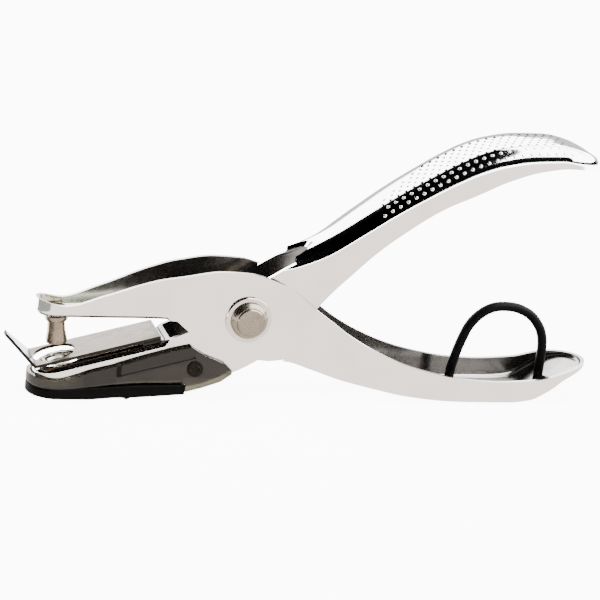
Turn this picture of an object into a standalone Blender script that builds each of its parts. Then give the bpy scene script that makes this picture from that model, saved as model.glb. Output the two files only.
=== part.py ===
"""Single hole punch of the plier kind: two pressed sheet levers crossed on one rivet.

The outer lever carries the punch pin at its nose and is the lower handle behind the pivot.  The inner
lever carries the die, the stripper strip and the chip tray at its nose and is the upper handle.  A torsion
spring on the pivot holds the jaws open.  Shapes are laid out from the pivot: +X to the handles, +Y across,
+Z up.
"""

import math

import bmesh
import bpy
import numpy as np
from mathutils import Matrix, Vector

MM = 0.001

# Sheet, fits and facets
SHEET = 1.0 * MM
SEAT_GAP = 0.2 * MM
RUN_GAP = 0.1 * MM
SIDE_GAP = 0.15 * MM
OVERRUN = 5.0 * MM
WELD = 0.001 * MM
ROUND_STEPS = 32
SMALL_STEPS = 20
SMOOTH_ANGLE = math.radians(35)
NOSE_STEPS = 6
MARK_CLEARING = 3
CORNER_ARCS = 4
CORNER_SHARE = 0.8
SHELL_STEPS = 34
TRAY_STEPS = 14

# Outer lever: upper jaw, cheeks and lower handle
LOWER_JAW_LENGTH = 53.0 * MM
UPPER_JAW_LEAD = 0.5 * MM
JAW_LENGTH = LOWER_JAW_LENGTH + UPPER_JAW_LEAD
HANDLE_LENGTH = 97.3 * MM
PIVOT_HEIGHT = 22.3 * MM
CHEEK_RISE_SHARE = 0.556
CHEEK_RISE = CHEEK_RISE_SHARE * PIVOT_HEIGHT
NOSE_HALF = 4.3 * MM
CHEEK_HALF = 7.15 * MM
GRIP_HALF = 9.5 * MM
JAW_CORNER = 1.9 * MM
HANDLE_CORNER = 2.6 * MM
NOSE_ROUND = 5.2 * MM
TIP_ROUND = 13.0 * MM

# Shares of jaw or handle length, with shares of the cheek's rise or of the pivot's height
JAW_EDGE_SHARES = ((1.0, 0.23), (0.87, 0.125), (0.69, 0.37), (0.43, 0.775), (0.30, 0.90), (0.14, 1.0))
CHEEK_EDGE_SHARES = ((0.0, 0.97), (0.05, 0.87), (0.119, 0.62), (0.185, 0.225), (0.227, 0.0))
HANDLE_EDGE_SHARES = (
    (0.284, -0.175), (0.37, -0.377), (0.452, -0.52), (0.529, -0.61), (0.62, -0.68),
    (0.72, -0.705), (0.822, -0.682), (0.925, -0.583), (1.0, -0.534),
)
JAW_WEB_SHARES = (
    (1.0, -0.085), (0.66, -0.07), (0.386, -0.048), (0.36, -0.15), (0.273, -0.32), (0.23, -0.43),
    (0.159, -0.50),
)
HANDLE_WEB_SHARES = (
    (0.0, -0.64), (0.085, -0.645), (0.112, -0.545), (0.192, -0.64), (0.272, -0.755), (0.355, -0.843),
    (0.477, -0.95), (0.60, -0.996), (0.66, -1.0), (0.76, -1.0), (0.822, -0.972), (0.874, -0.86),
    (0.93, -0.70), (0.966, -0.645), (1.0, -0.622),
)
JAW_WIDTH_SHARES = ((1.0, 0.0), (0.90, 0.0), (0.69, 0.16), (0.43, 0.66), (0.32, 1.0), (0.05, 1.0))
HANDLE_WIDTH_SHARES = (
    (0.14, 0.0), (0.21, 0.14), (0.29, 0.33), (0.45, 0.66), (0.62, 0.92), (0.77, 1.0), (1.0, 1.0),
)
OUTER_WINDOW_FRONT_SHARE = 0.385
OUTER_WINDOW_BACK_SHARE = 0.11
WINDOW_LIFT = 0.4 * MM
OUTER_WINDOW_SHARES = (
    (-0.344, -0.04), (-0.273, -0.184), (-0.23, -0.282), (-0.159, -0.363), (-0.093, -0.42), (-0.019, -0.475),
    (0.067, -0.507),
)

# Inner lever: lower jaw, inner cheeks and upper handle
GRIP_LENGTH = 92.2 * MM
GRIP_RISE_SHARE = 2.193
GRIP_RISE = GRIP_RISE_SHARE * PIVOT_HEIGHT
INNER_HALF = CHEEK_HALF - SHEET - SIDE_GAP
LOWER_WALL_SHARE = 0.157
LOWER_WALL = LOWER_WALL_SHARE * PIVOT_HEIGHT
LOWER_CORNER = 1.8 * MM
GRIP_CORNER = 3.0 * MM
LOWER_NOSE_ROUND = 6.0 * MM
GRIP_ROUND = 12.0 * MM
PLATFORM_DROP_SHARE = 0.6233
PLATFORM_DROP = PLATFORM_DROP_SHARE * PIVOT_HEIGHT
PLATFORM_TILT_SHARE = 0.6413
PLATFORM_SLOPE = math.atan2(PLATFORM_TILT_SHARE * PIVOT_HEIGHT, LOWER_JAW_LENGTH)

PLATFORM_WINDOW_SHARE = 0.387
INNER_WINDOW_SHARES = (
    (-0.387, -0.135), (-0.28, -0.084), (-0.15, 0.03), (0.0, 0.157), (0.047, 0.215), (0.097, 0.274),
    (0.124, 0.30),
)
PLATFORM_RISE_SHARES = ((0.36, -0.08), (0.28, -0.037), (0.15, 0.082))
LOWER_WALL_SHARES = ((1.0, 0.63), (0.87, 0.97), (0.66, 1.0))
GRIP_WEB_SHARES = (
    (0.0, 0.212), (0.047, 0.275), (0.097, 0.322), (0.124, 0.338), (0.206, 0.417), (0.309, 0.558),
    (0.39, 0.671), (0.477, 0.779), (0.564, 0.877), (0.618, 0.928), (0.679, 0.967), (0.77, 0.997),
    (0.85, 1.0), (0.912, 0.977), (0.961, 0.942), (1.0, 0.903),
)
GRIP_EDGE_SHARES = (
    (0.04, -0.24), (0.098, -0.164), (0.152, -0.051), (0.195, 0.051), (0.235, 0.147), (0.283, 0.249),
    (0.349, 0.382), (0.403, 0.472), (0.525, 0.64), (0.614, 0.724), (0.701, 0.806), (0.795, 0.865),
    (0.878, 0.887), (0.94, 0.876), (1.0, 0.863),
)
LOWER_EDGE_SHARES = ((0.245, -0.332), (0.15, -0.336), (0.042, -0.305))
GRIP_WIDTH_SHARES = (
    (0.15, 0.0), (0.22, 0.07), (0.30, 0.30), (0.48, 0.68), (0.66, 0.93), (0.80, 1.0), (1.0, 1.0),
)
SCALLOP_RADIUS = 4.4 * MM
SCALLOP_DEPTH = 12.2 * MM
SCALLOP_REACH = 13.6 * MM

# Pivot rivet, its washers and sleeve
PIVOT_RADIUS = 3.0 * MM
WASHER_RADIUS = 5.95 * MM
WASHER_THICK = 0.6 * MM
HEAD_RADIUS = 4.75 * MM
HEAD_FACE_RADIUS = 3.4 * MM
HEAD_STEP_RADIUS = 3.8 * MM
HEAD_THICK = 1.9 * MM
HEAD_EDGE = 0.7 * MM
HEAD_STEP = 0.3 * MM
HEAD_LEDGE = 0.2 * MM
CAP_SOCKET = 0.95 * MM
SLEEVE_WALL = 0.5 * MM

# Return spring: a torsion coil with one leg in each handle
WIRE = 1.2 * MM
COIL_TURNS = 4
COIL_PITCH = 1.75 * MM
COIL_POINTS = 10
LEG_REACH = 22.0 * MM
UPPER_LEG_REACH = 19.0 * MM

# Punch pin and its collar
PIN_SETBACK = 5.6 * MM
PIN_REACH = LOWER_JAW_LENGTH - PIN_SETBACK
PIN_DROP_SHARE = 0.4126
PIN_DROP = PIN_DROP_SHARE * PIVOT_HEIGHT
PIN_TILT = math.radians(4.5)
PIN_RADIUS = 2.7 * MM
PIN_WAIST = 2.2 * MM
PIN_SHANK = 1.9 * MM
PIN_HEAD = 2.8 * MM
PIN_HEAD_THICK = 0.9 * MM
PIN_HOLLOW = 0.6 * MM
PIN_RAKE = 0.5 * MM
COLLAR_RADIUS = 3.05 * MM
COLLAR_TAPER = 0.35 * MM
COLLAR_THICK = 1.3 * MM
COLLAR_LAND = 0.45 * MM

# Die, stripper strip and its rivets
DIE_CLEARANCE = 0.22 * MM
DIE_WALL = 1.4 * MM
DIE_THICK = 2.4 * MM
STRIP_THICK = 0.8 * MM
PAPER_GAP = 1.0 * MM
STRIP_HALF = 6.0 * MM
STRIP_HOLE_RADIUS = 3.5 * MM
STRIP_SETBACK = 1.1 * MM
STRIP_REAR = PLATFORM_WINDOW_SHARE * LOWER_JAW_LENGTH + STRIP_SETBACK
STRIP_LEAD = 0.2 * MM
STRIP_FRONT = LOWER_JAW_LENGTH + STRIP_LEAD
LIP_REACH = 7.3 * MM
LIP_ANGLE = math.radians(44)
LIP_TIP_HALF = 1.8 * MM
LIP_CORNER = 1.1 * MM
LIP_STEPS = 10
STRIP_HOLE_SHARE = 0.7
SPACER_LENGTH = 4.6 * MM
STRIP_RIVET_RADIUS = 0.9 * MM
STRIP_RIVET_HEAD = 1.5 * MM
STRIP_RIVET_SPREAD = 2.8 * MM
STRIP_SINK_LAND = 0.25 * MM

# Chip tray, its base and its hinge pin
TRAY_WALL = 1.0 * MM
TRAY_LEAD = 1.4 * MM
TRAY_LENGTH = LOWER_JAW_LENGTH + TRAY_LEAD
TRAY_HALF = INNER_HALF + SEAT_GAP + TRAY_WALL
TRAY_NOSE_ROUND = 7.4 * MM
TRAY_CORNER = 1.2 * MM
BAND_PROUD = 0.3 * MM
BAND_DEPTH = 2.1 * MM
BAND_STEPS = 6
WING_DEPTH = 4.2 * MM
BASE_STEPS = 8
TRAY_PIN_BACK = 12.6 * MM
TRAY_PIN_DROP_SHARE = 0.61
TRAY_PIN_DROP = TRAY_PIN_DROP_SHARE * PIVOT_HEIGHT
TRAY_PIN_RADIUS = 1.1 * MM
TRAY_BOSS_RADIUS = 1.8 * MM
TRAY_BOSS_PROUD = 0.3 * MM
WING_GAP = 0.25 * MM
TRAY_FLOOR_END = 15.0 * MM
TRAY_EDGE_SHARES = (
    (1.0, -0.76), (0.92, -0.78), (0.865, -0.775), (0.787, -0.724), (0.724, -0.668), (0.60, -0.587),
    (0.46, -0.475), (0.331, -0.386), (0.257, -0.345),
)
TRAY_FLOOR_SHARES = ((1.0, -0.875), (0.94, -0.872), (0.60, -0.84), (0.26, -0.805))
WING_SHARES = ((0.257, -0.345), (0.18, -0.462), (0.09, -0.543), (0.051, -0.628), (0.05, -0.673))
WING_UNDER_SHARES = ((0.101, -0.767), (0.184, -0.839), (0.268, -0.895))
BASE_UNDER_SHARES = ((1.0, -1.0), (0.72, -1.0), (0.60, -0.975), (0.27, -0.915))
NUB_SHARE = 0.545
NUB_DEPTH = 0.5 * MM
NUB_HALF = 1.0 * MM

# Hang loop: a stiff sheathed wire bow standing in the lower handle
LOOP_RADIUS = 1.12 * MM
LOOP_FRONT = 59.4 * MM
LOOP_SPAN = 25.6 * MM
LOOP_TOP = 2.3 * MM
LOOP_BOW_SHARES = (
    (0.0, 0.0), (0.0, 0.08), (0.006, 0.22), (0.035, 0.42), (0.10, 0.66), (0.16, 0.80), (0.26, 0.915),
    (0.385, 0.985), (0.52, 1.0), (0.665, 0.975), (0.80, 0.90), (0.90, 0.785), (0.965, 0.655),
    (0.995, 0.50), (1.0, 0.30), (1.0, 0.12), (1.0, 0.0),
)
LOOP_STEPS = 3

CHROME = (0.82, 0.81, 0.79, 1.0)
NICKEL = (0.62, 0.58, 0.53, 1.0)
TOOL_STEEL = (0.52, 0.46, 0.38, 1.0)
SPRING_STEEL = (0.55, 0.50, 0.42, 1.0)
DARK_STEEL = (0.30, 0.29, 0.28, 1.0)
SMOKE_PLASTIC = (0.16, 0.155, 0.13, 1.0)
BLACK_PLASTIC = (0.02, 0.02, 0.02, 1.0)


def start_scene():
    """Empty the scene and make the two collections."""
    for item in list(bpy.data.objects):
        bpy.data.objects.remove(item, do_unlink=True)
    scene = bpy.context.scene
    made = []
    for title in ("single_hole_punch", "cutters"):
        group = bpy.data.collections.new(title)
        scene.collection.children.link(group)
        made.append(group)
    return made


PARTS, CUTTERS = start_scene()


def finish(title, colour, roughness, metallic):
    """One Principled material."""
    made = bpy.data.materials.new(title)
    made.use_nodes = True
    shader = made.node_tree.nodes["Principled BSDF"]
    shader.inputs["Base Color"].default_value = colour
    shader.inputs["Roughness"].default_value = roughness
    shader.inputs["Metallic"].default_value = metallic
    return made


def axis_empty(title, place, parent=None):
    """An empty on a joint's axis, which carries the pieces of one body."""
    empty = bpy.data.objects.new(title, None)
    empty.location = place
    empty.parent = parent
    PARTS.objects.link(empty)
    return empty


def add_object(title, mesh, parent, place=(0, 0, 0), turn=None, group=None):
    """Link a mesh as an object under its body's empty."""
    made = bpy.data.objects.new(title, mesh)
    made.location = place
    if turn is not None:
        made.rotation_euler = turn
    made.parent = parent
    (group or PARTS).objects.link(made)
    return made


def as_cutter(made):
    """Keep an object as a cutter only."""
    for group in list(made.users_collection):
        group.objects.unlink(made)
    CUTTERS.objects.link(made)
    made.hide_render = True
    made.display_type = "WIRE"
    return made


def dress(made, material):
    """Give a piece its material and smooth shading."""
    made.data.materials.clear()
    made.data.materials.append(material)
    made.data.shade_smooth()
    made.data.set_sharp_from_angle(angle=SMOOTH_ANGLE)
    return made


def cut(piece, cutter, operation="DIFFERENCE"):
    """Boolean one object with another."""
    modifier = piece.modifiers.new(cutter.name, "BOOLEAN")
    modifier.operation = operation
    modifier.solver = "EXACT"
    modifier.object = cutter


def smooth_line(points):
    """A function of x: a smooth curve through the points that never overshoots them."""
    ordered = sorted(points)
    xs = np.array([point[0] for point in ordered])
    zs = np.array([point[1] for point in ordered])
    runs = np.diff(xs)
    slopes = np.diff(zs) / runs
    tangents = np.zeros(len(xs))
    tangents[0] = slopes[0]
    tangents[-1] = slopes[-1]
    for index in range(1, len(xs) - 1):
        before, after = slopes[index - 1], slopes[index]
        if before * after > 0:
            first = 2 * runs[index] + runs[index - 1]
            second = runs[index] + 2 * runs[index - 1]
            tangents[index] = (first + second) / (first / before + second / after)

    def value(x):
        x = min(max(x, xs[0]), xs[-1])
        index = min(max(int(np.searchsorted(xs, x)) - 1, 0), len(runs) - 1)
        run = runs[index]
        t = (x - xs[index]) / run
        start = (2 * t**3 - 3 * t**2 + 1) * zs[index] + (t**3 - 2 * t**2 + t) * run * tangents[index]
        end = (3 * t**2 - 2 * t**3) * zs[index + 1] + (t**3 - t**2) * run * tangents[index + 1]
        return float(start + end)

    return value


def scaled(shares, length, height):
    """Turn shares into real points."""
    return [(along * length, up * height) for along, up in shares]


def shell_stations(front, back, front_round, back_round, marks, steps):
    """Places along X for a shell: close together at the rounded ends and at the marks."""
    places = set()
    for index in range(NOSE_STEPS + 1):
        turn = math.pi / 2 * index / NOSE_STEPS
        places.add(front + front_round * (1 - math.cos(turn)))
        if back_round:
            places.add(back - back_round * (1 - math.cos(turn)))
    body_front, body_back = front + front_round, back - back_round
    for index in range(1, steps):
        places.add(body_front + (body_back - body_front) * index / steps)
    if not back_round:
        places.add(back)
    ordered = sorted(places)
    nearest = (back - front) / (MARK_CLEARING * steps)
    kept = [x for x in ordered if all(abs(x - mark) > nearest for mark in marks)] + list(marks)
    for end in (front, back):
        if end not in kept:
            kept.append(end)
    return sorted(kept)


def channel(title, ends, rounds, half, edge, web, corner, marks=(), steps=SHELL_STEPS, arcs=CORNER_ARCS):
    """An open pressed channel with a rounded nose, as one half for Mirror, then Solidify.

    The rows run from the wall's free edge to the web, round a corner, and in to the middle plane.
    """
    front, back = ends
    front_round, back_round = rounds
    xs = shell_stations(front, back, front_round, back_round, marks, steps)

    def width(x):
        nose = min((x - front) / front_round, 1)
        tail = min((back - x) / back_round, 1) if back_round else 1
        return half(x) * math.sqrt(max(0, 1 - (1 - nose) ** 2)) * math.sqrt(max(0, 1 - (1 - tail) ** 2))

    outline = [Vector((x, -width(x))) for x in xs]
    mesh = bmesh.new()
    rows = []
    for index, point in enumerate(outline):
        before = outline[max(index - 1, 0)]
        after = outline[min(index + 1, len(outline) - 1)]
        along = (after - before).normalized()
        out = Vector((along.y, -along.x))
        if index == 0:
            out = Vector((-1, 0))
        if index == len(outline) - 1:
            out = Vector((1, 0)) if back_round else Vector((0, -1))
        depth = web(point.x) - edge(point.x)
        sign = 1 if depth > 0 else -1
        bend = min(corner(point.x), abs(depth) * CORNER_SHARE)
        row = [mesh.verts.new((point.x, point.y, edge(point.x)))]
        for step in range(arcs + 1):
            turn = math.pi / 2 * step / arcs
            place = point - out * bend * (1 - math.cos(turn))
            drop = bend * (1 - math.sin(turn))
            row.append(mesh.verts.new((place.x, min(place.y, 0), web(place.x) - sign * drop)))
        row.append(mesh.verts.new((place.x, 0, web(place.x))))
        rows.append(row)
    for left, right in zip(rows, rows[1:]):
        for lower, upper in zip(range(len(left) - 1), range(1, len(left))):
            mesh.faces.new((left[lower], right[lower], right[upper], left[upper]))
    bmesh.ops.remove_doubles(mesh, verts=mesh.verts, dist=WELD)
    bmesh.ops.dissolve_degenerate(mesh, edges=mesh.edges, dist=WELD)
    mesh.normal_update()
    facing = sum(face.normal.y * face.calc_area() for face in mesh.faces)
    if facing > 0:
        bmesh.ops.reverse_faces(mesh, faces=mesh.faces)
    data = bpy.data.meshes.new(title)
    mesh.to_mesh(data)
    mesh.free()
    return data


def sheet_modifiers(piece, thick):
    """Mirror the half shell and give the sheet its thickness inward."""
    mirror = piece.modifiers.new("across", "MIRROR")
    mirror.use_axis = (False, True, False)
    mirror.use_clip = True
    mirror.merge_threshold = WELD
    solid = piece.modifiers.new("sheet", "SOLIDIFY")
    solid.thickness = thick
    solid.offset = -1
    solid.use_even_offset = True


def flat_plate(title, outline, low, high, plane, parent, group=None):
    """A plate with a flat outline, standing in XZ or lying in XY, between two levels across it."""
    curve = bpy.data.curves.new(title, "CURVE")
    curve.dimensions = "2D"
    curve.fill_mode = "BOTH"
    curve.extrude = (high - low) / 2
    spline = curve.splines.new("POLY")
    spline.points.add(len(outline) - 1)
    for point, (first, second) in zip(spline.points, outline):
        point.co = (first, second, 0, 1)
    spline.use_cyclic_u = True
    made = bpy.data.objects.new(title, curve)
    PARTS.objects.link(made)
    middle = (low + high) / 2
    if plane == "XZ":
        matrix = Matrix.Translation((0, middle, 0)) @ Matrix.Rotation(math.pi / 2, 4, "X")
    else:
        matrix = Matrix.Translation((0, 0, middle))
    bpy.context.view_layer.update()
    evaluated = made.evaluated_get(bpy.context.evaluated_depsgraph_get())
    data = bpy.data.meshes.new_from_object(evaluated)
    bpy.data.objects.remove(made, do_unlink=True)
    data.transform(matrix)
    solid = bmesh.new()
    solid.from_mesh(data)
    bmesh.ops.remove_doubles(solid, verts=solid.verts, dist=WELD)
    bmesh.ops.recalc_face_normals(solid, faces=solid.faces)
    solid.to_mesh(data)
    solid.free()
    return add_object(title, data, parent, group=group)


def rod(title, radius, low, high, parent, place=(0, 0), tilt=0.0, steps=ROUND_STEPS, axis="Y", group=None):
    """A round rod along Y, or along a tilted upright axis, between two levels."""
    solid = bmesh.new()
    bmesh.ops.create_cone(
        solid, cap_ends=True, segments=steps, radius1=radius, radius2=radius, depth=high - low
    )
    middle = (low + high) / 2
    if axis == "Y":
        matrix = Matrix.Translation((place[0], middle, place[1])) @ Matrix.Rotation(math.pi / 2, 4, "X")
    else:
        turn = Matrix.Rotation(-tilt, 4, "Y")
        matrix = Matrix.Translation((place[0], 0, place[1])) @ turn @ Matrix.Translation((0, 0, middle))
    bmesh.ops.transform(solid, matrix=matrix, verts=solid.verts)
    data = bpy.data.meshes.new(title)
    solid.to_mesh(data)
    solid.free()
    return add_object(title, data, parent, group=group)


def turned(title, profile, parent, place=(0, 0, 0), turn=(0, 0, 0), steps=ROUND_STEPS):
    """A turned piece: a profile of (radius, height) from the top down its outer side, screwed round Z."""
    data = bpy.data.meshes.new(title)
    corners = [(radius, 0, height) for radius, height in profile]
    links = [(index, index + 1) for index in range(len(corners) - 1)]
    if profile[0][0] > 0:
        links.append((len(corners) - 1, 0))
    data.from_pydata(corners, links, [])
    made = add_object(title, data, parent, place, turn)
    screw = made.modifiers.new("turn", "SCREW")
    screw.steps = steps
    screw.render_steps = steps
    screw.use_merge_vertices = True
    screw.merge_threshold = WELD
    screw.use_normal_calculate = False
    return made


def wire_object(title, paths, radius, parent, resolution):
    """A wire along a path of points, as a curve with filled caps."""
    curve = bpy.data.curves.new(title, "CURVE")
    curve.dimensions = "3D"
    curve.bevel_depth = radius
    curve.bevel_resolution = resolution
    curve.use_fill_caps = True
    spline = curve.splines.new("POLY")
    spline.points.add(len(paths) - 1)
    for point, place in zip(spline.points, paths):
        point.co = (*place, 1)
    made = bpy.data.objects.new(title, curve)
    made.parent = parent
    PARTS.objects.link(made)
    return made


def rested(point, angle):
    """Turn an (x, z) point about the pivot, opening the jaws by an angle."""
    x, z = point
    return (
        x * math.cos(angle) - z * math.sin(angle),
        z * math.cos(angle) + x * math.sin(angle),
    )


# Lines of the two levers, as functions of x from the pivot
def lever_line(jaw_shares, handle_shares, jaw_length, handle_length, jaw_height, handle_height, middle=()):
    """One smooth line over a whole lever, from shares on each side of the pivot."""
    jaw = [(-along * jaw_length, up * jaw_height) for along, up in jaw_shares]
    return smooth_line(jaw + list(middle) + scaled(handle_shares, handle_length, handle_height))


outer_edge = lever_line(
    JAW_EDGE_SHARES, HANDLE_EDGE_SHARES, JAW_LENGTH, HANDLE_LENGTH, CHEEK_RISE, PIVOT_HEIGHT,
    scaled(CHEEK_EDGE_SHARES, HANDLE_LENGTH, CHEEK_RISE),
)
outer_web = lever_line(
    JAW_WEB_SHARES, HANDLE_WEB_SHARES, JAW_LENGTH, HANDLE_LENGTH, PIVOT_HEIGHT, PIVOT_HEIGHT,
)


def widths(shares, length, narrow, wide):
    """Half widths along a length, each a share of the way from narrow to wide."""
    return [(along * length, narrow + share * (wide - narrow)) for along, share in shares]


outer_half = smooth_line(
    widths(JAW_WIDTH_SHARES, -JAW_LENGTH, NOSE_HALF, CHEEK_HALF)
    + widths(HANDLE_WIDTH_SHARES, HANDLE_LENGTH, CHEEK_HALF, GRIP_HALF)
)
inner_half = smooth_line(
    [(-LOWER_JAW_LENGTH, INNER_HALF)] + widths(GRIP_WIDTH_SHARES, GRIP_LENGTH, INNER_HALF, GRIP_HALF)
)


def platform(x):
    """Height of the lower jaw's platform, on which the paper lies."""
    return -PLATFORM_DROP + math.tan(PLATFORM_SLOPE) * (x + PIN_REACH)


PLATFORM_END = -PLATFORM_WINDOW_SHARE * LOWER_JAW_LENGTH
PLATFORM_MIDDLE = (PLATFORM_END - LOWER_JAW_LENGTH) / 2
inner_web = smooth_line(
    [(x, platform(x)) for x in (-LOWER_JAW_LENGTH, PLATFORM_MIDDLE, PLATFORM_END - SHEET, PLATFORM_END)]
    + [(-along * LOWER_JAW_LENGTH, up * GRIP_RISE) for along, up in PLATFORM_RISE_SHARES]
    + scaled(GRIP_WEB_SHARES, GRIP_LENGTH, GRIP_RISE)
)
inner_edge = smooth_line(
    [
        (-along * LOWER_JAW_LENGTH, platform(-along * LOWER_JAW_LENGTH) - share * LOWER_WALL)
        for along, share in LOWER_WALL_SHARES
    ]
    + [(-along * LOWER_JAW_LENGTH, up * GRIP_RISE) for along, up in LOWER_EDGE_SHARES]
    + scaled(GRIP_EDGE_SHARES, GRIP_LENGTH, GRIP_RISE)
)
tray_edge = smooth_line([(-along * TRAY_LENGTH, up * PIVOT_HEIGHT) for along, up in TRAY_EDGE_SHARES])
tray_floor = smooth_line([(-along * TRAY_LENGTH, up * PIVOT_HEIGHT) for along, up in TRAY_FLOOR_SHARES])

OUTER_FRONT_END = -OUTER_WINDOW_FRONT_SHARE * JAW_LENGTH
OUTER_BACK_END = OUTER_WINDOW_BACK_SHARE * HANDLE_LENGTH
INNER_BACK_END = INNER_WINDOW_SHARES[-1][0] * GRIP_LENGTH

# Places that the pieces share
BITE_RADIUS = math.hypot(PIN_REACH, PIN_DROP)
PIN_DIRECTION = (math.sin(PIN_TILT), -math.cos(PIN_TILT))


def pin_point(up):
    """A point on the punch pin's axis, a distance up from its cutting end."""
    return (-PIN_REACH - up * PIN_DIRECTION[0], -PIN_DROP - up * PIN_DIRECTION[1])


def bite_angle():
    """How far the jaws close until the pin's end reaches the platform."""
    angle = 0.0
    for _ in range(SMALL_STEPS):
        x, z = rested((-PIN_REACH, -PIN_DROP), angle)
        angle += (z - platform(x)) / BITE_RADIUS
    return angle


BITE = bite_angle()
DIE_X, DIE_Z = rested((-PIN_REACH, -PIN_DROP), BITE)
DIE_TILT = PIN_TILT + BITE
DIE_BORE = PIN_RADIUS + DIE_CLEARANCE
LIP_END = -STRIP_FRONT - PAPER_GAP * math.sin(PLATFORM_SLOPE) - LIP_REACH
PIVOT_X = -(HANDLE_LENGTH + LIP_END) / 2

pivot = axis_empty("pivot_axis", (PIVOT_X, 0, PIVOT_HEIGHT))
inner_axis = axis_empty("inner_lever_axis", (0, 0, 0), pivot)
tray_axis = axis_empty("tray_axis", (-TRAY_PIN_BACK, 0, -TRAY_PIN_DROP), inner_axis)
tray_place = (TRAY_PIN_BACK, 0, TRAY_PIN_DROP)

chrome = finish("chrome_plated_sheet", CHROME, 0.12, 1.0)
nickel = finish("nickel_rivet", NICKEL, 0.3, 1.0)
tool_steel = finish("tool_steel", TOOL_STEEL, 0.35, 1.0)
spring_steel = finish("spring_steel", SPRING_STEEL, 0.32, 1.0)
dark_steel = finish("dark_steel", DARK_STEEL, 0.4, 1.0)
smoke = finish("smoke_plastic", SMOKE_PLASTIC, 0.2, 0.0)
black = finish("black_plastic", BLACK_PLASTIC, 0.4, 0.0)


def upright_cutter(title, outline, half, parent):
    """A cutter with an XZ outline, through everything across it."""
    return as_cutter(flat_plate(title, outline, -half, half, "XZ", parent))


def cross_hole(piece, title, radius, place, parent, steps=ROUND_STEPS):
    """Drill a hole straight across a piece."""
    reach = CHEEK_HALF + OVERRUN
    cutter = as_cutter(rod(title, radius, -reach, reach, parent, place, steps=steps))
    cut(piece, cutter)


def pivot_shares(shares, jaw_length, handle_length, height):
    """Window points, each a share of the length on its own side of the pivot."""
    return [(along * (jaw_length if along < 0 else handle_length), up * height) for along, up in shares]


def build_outer_lever():
    """Upper jaw, cheeks and lower handle, pressed from one sheet."""

    corner = smooth_line([(OUTER_FRONT_END, JAW_CORNER), (OUTER_BACK_END, HANDLE_CORNER)])
    marks = (OUTER_FRONT_END, OUTER_BACK_END)
    data = channel(
        "outer_lever", (-JAW_LENGTH, HANDLE_LENGTH), (NOSE_ROUND, TIP_ROUND), outer_half, outer_edge,
        outer_web, corner, marks,
    )
    piece = add_object("outer_lever", data, pivot)
    sheet_modifiers(piece, SHEET)
    line = pivot_shares(OUTER_WINDOW_SHARES, JAW_LENGTH, HANDLE_LENGTH, PIVOT_HEIGHT)
    deep = -PIVOT_HEIGHT - OVERRUN
    outline = [(OUTER_FRONT_END, deep), (OUTER_FRONT_END, line[0][1])] + line
    outline += [(OUTER_BACK_END, line[-1][1] + WINDOW_LIFT), (OUTER_BACK_END, deep)]
    cut(piece, upright_cutter("outer_window", outline, CHEEK_HALF + OVERRUN, pivot))
    cross_hole(piece, "outer_pivot_hole", PIVOT_RADIUS + RUN_GAP, (0, 0), pivot)
    web_place = pin_point(PIN_DROP + outer_web(-PIN_REACH))
    hole = rod(
        "pin_hole", PIN_SHANK + RUN_GAP, -OVERRUN, OVERRUN, pivot, web_place, PIN_TILT, SMALL_STEPS, "Z"
    )
    cut(piece, as_cutter(hole))
    for number, foot in enumerate((loop_points()[0], loop_points()[-1])):
        hole = rod(
            f"loop_hole_{number}", LOOP_RADIUS + RUN_GAP, -OVERRUN, OVERRUN, pivot, (foot[0], foot[2]), 0.0,
            SMALL_STEPS, "Z",
        )
        cut(piece, as_cutter(hole))
    return dress(piece, chrome)


def build_inner_lever():
    """Lower jaw, inner cheeks and upper handle, pressed from one sheet."""

    corner = smooth_line([(PLATFORM_END, LOWER_CORNER), (INNER_BACK_END, GRIP_CORNER)])
    marks = (PLATFORM_END, INNER_BACK_END)
    data = channel(
        "inner_lever", (-LOWER_JAW_LENGTH, GRIP_LENGTH), (LOWER_NOSE_ROUND, GRIP_ROUND), inner_half,
        inner_edge, inner_web, corner, marks,
    )
    piece = add_object("inner_lever", data, inner_axis)
    sheet_modifiers(piece, SHEET)
    line = pivot_shares(INNER_WINDOW_SHARES, LOWER_JAW_LENGTH, GRIP_LENGTH, GRIP_RISE)
    high = GRIP_RISE
    outline = [(PLATFORM_END, high)] + line + [(INNER_BACK_END, high)]
    cut(piece, upright_cutter("inner_window", outline, CHEEK_HALF + OVERRUN, inner_axis))
    slope = math.atan2(line[-1][1] - line[-3][1], line[-1][0] - line[-3][0])
    centre = SCALLOP_REACH - SHEET - SCALLOP_RADIUS
    scallop = rod(
        "scallop", SCALLOP_RADIUS, 0, SCALLOP_DEPTH, inner_axis, (centre, line[-2][1]), -slope,
        ROUND_STEPS, "Z",
    )
    cut(piece, as_cutter(scallop))
    cross_hole(piece, "inner_pivot_hole", PIVOT_RADIUS + RUN_GAP, (0, 0), inner_axis)
    cross_hole(
        piece, "inner_tray_hole", TRAY_PIN_RADIUS + RUN_GAP, (-TRAY_PIN_BACK, -TRAY_PIN_DROP), inner_axis,
        SMALL_STEPS,
    )
    hole = rod(
        "die_hole", DIE_BORE + DIE_WALL + RUN_GAP, -OVERRUN, OVERRUN, inner_axis, (DIE_X, DIE_Z), DIE_TILT,
        ROUND_STEPS, "Z",
    )
    cut(piece, as_cutter(hole))
    return dress(piece, chrome)


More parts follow.
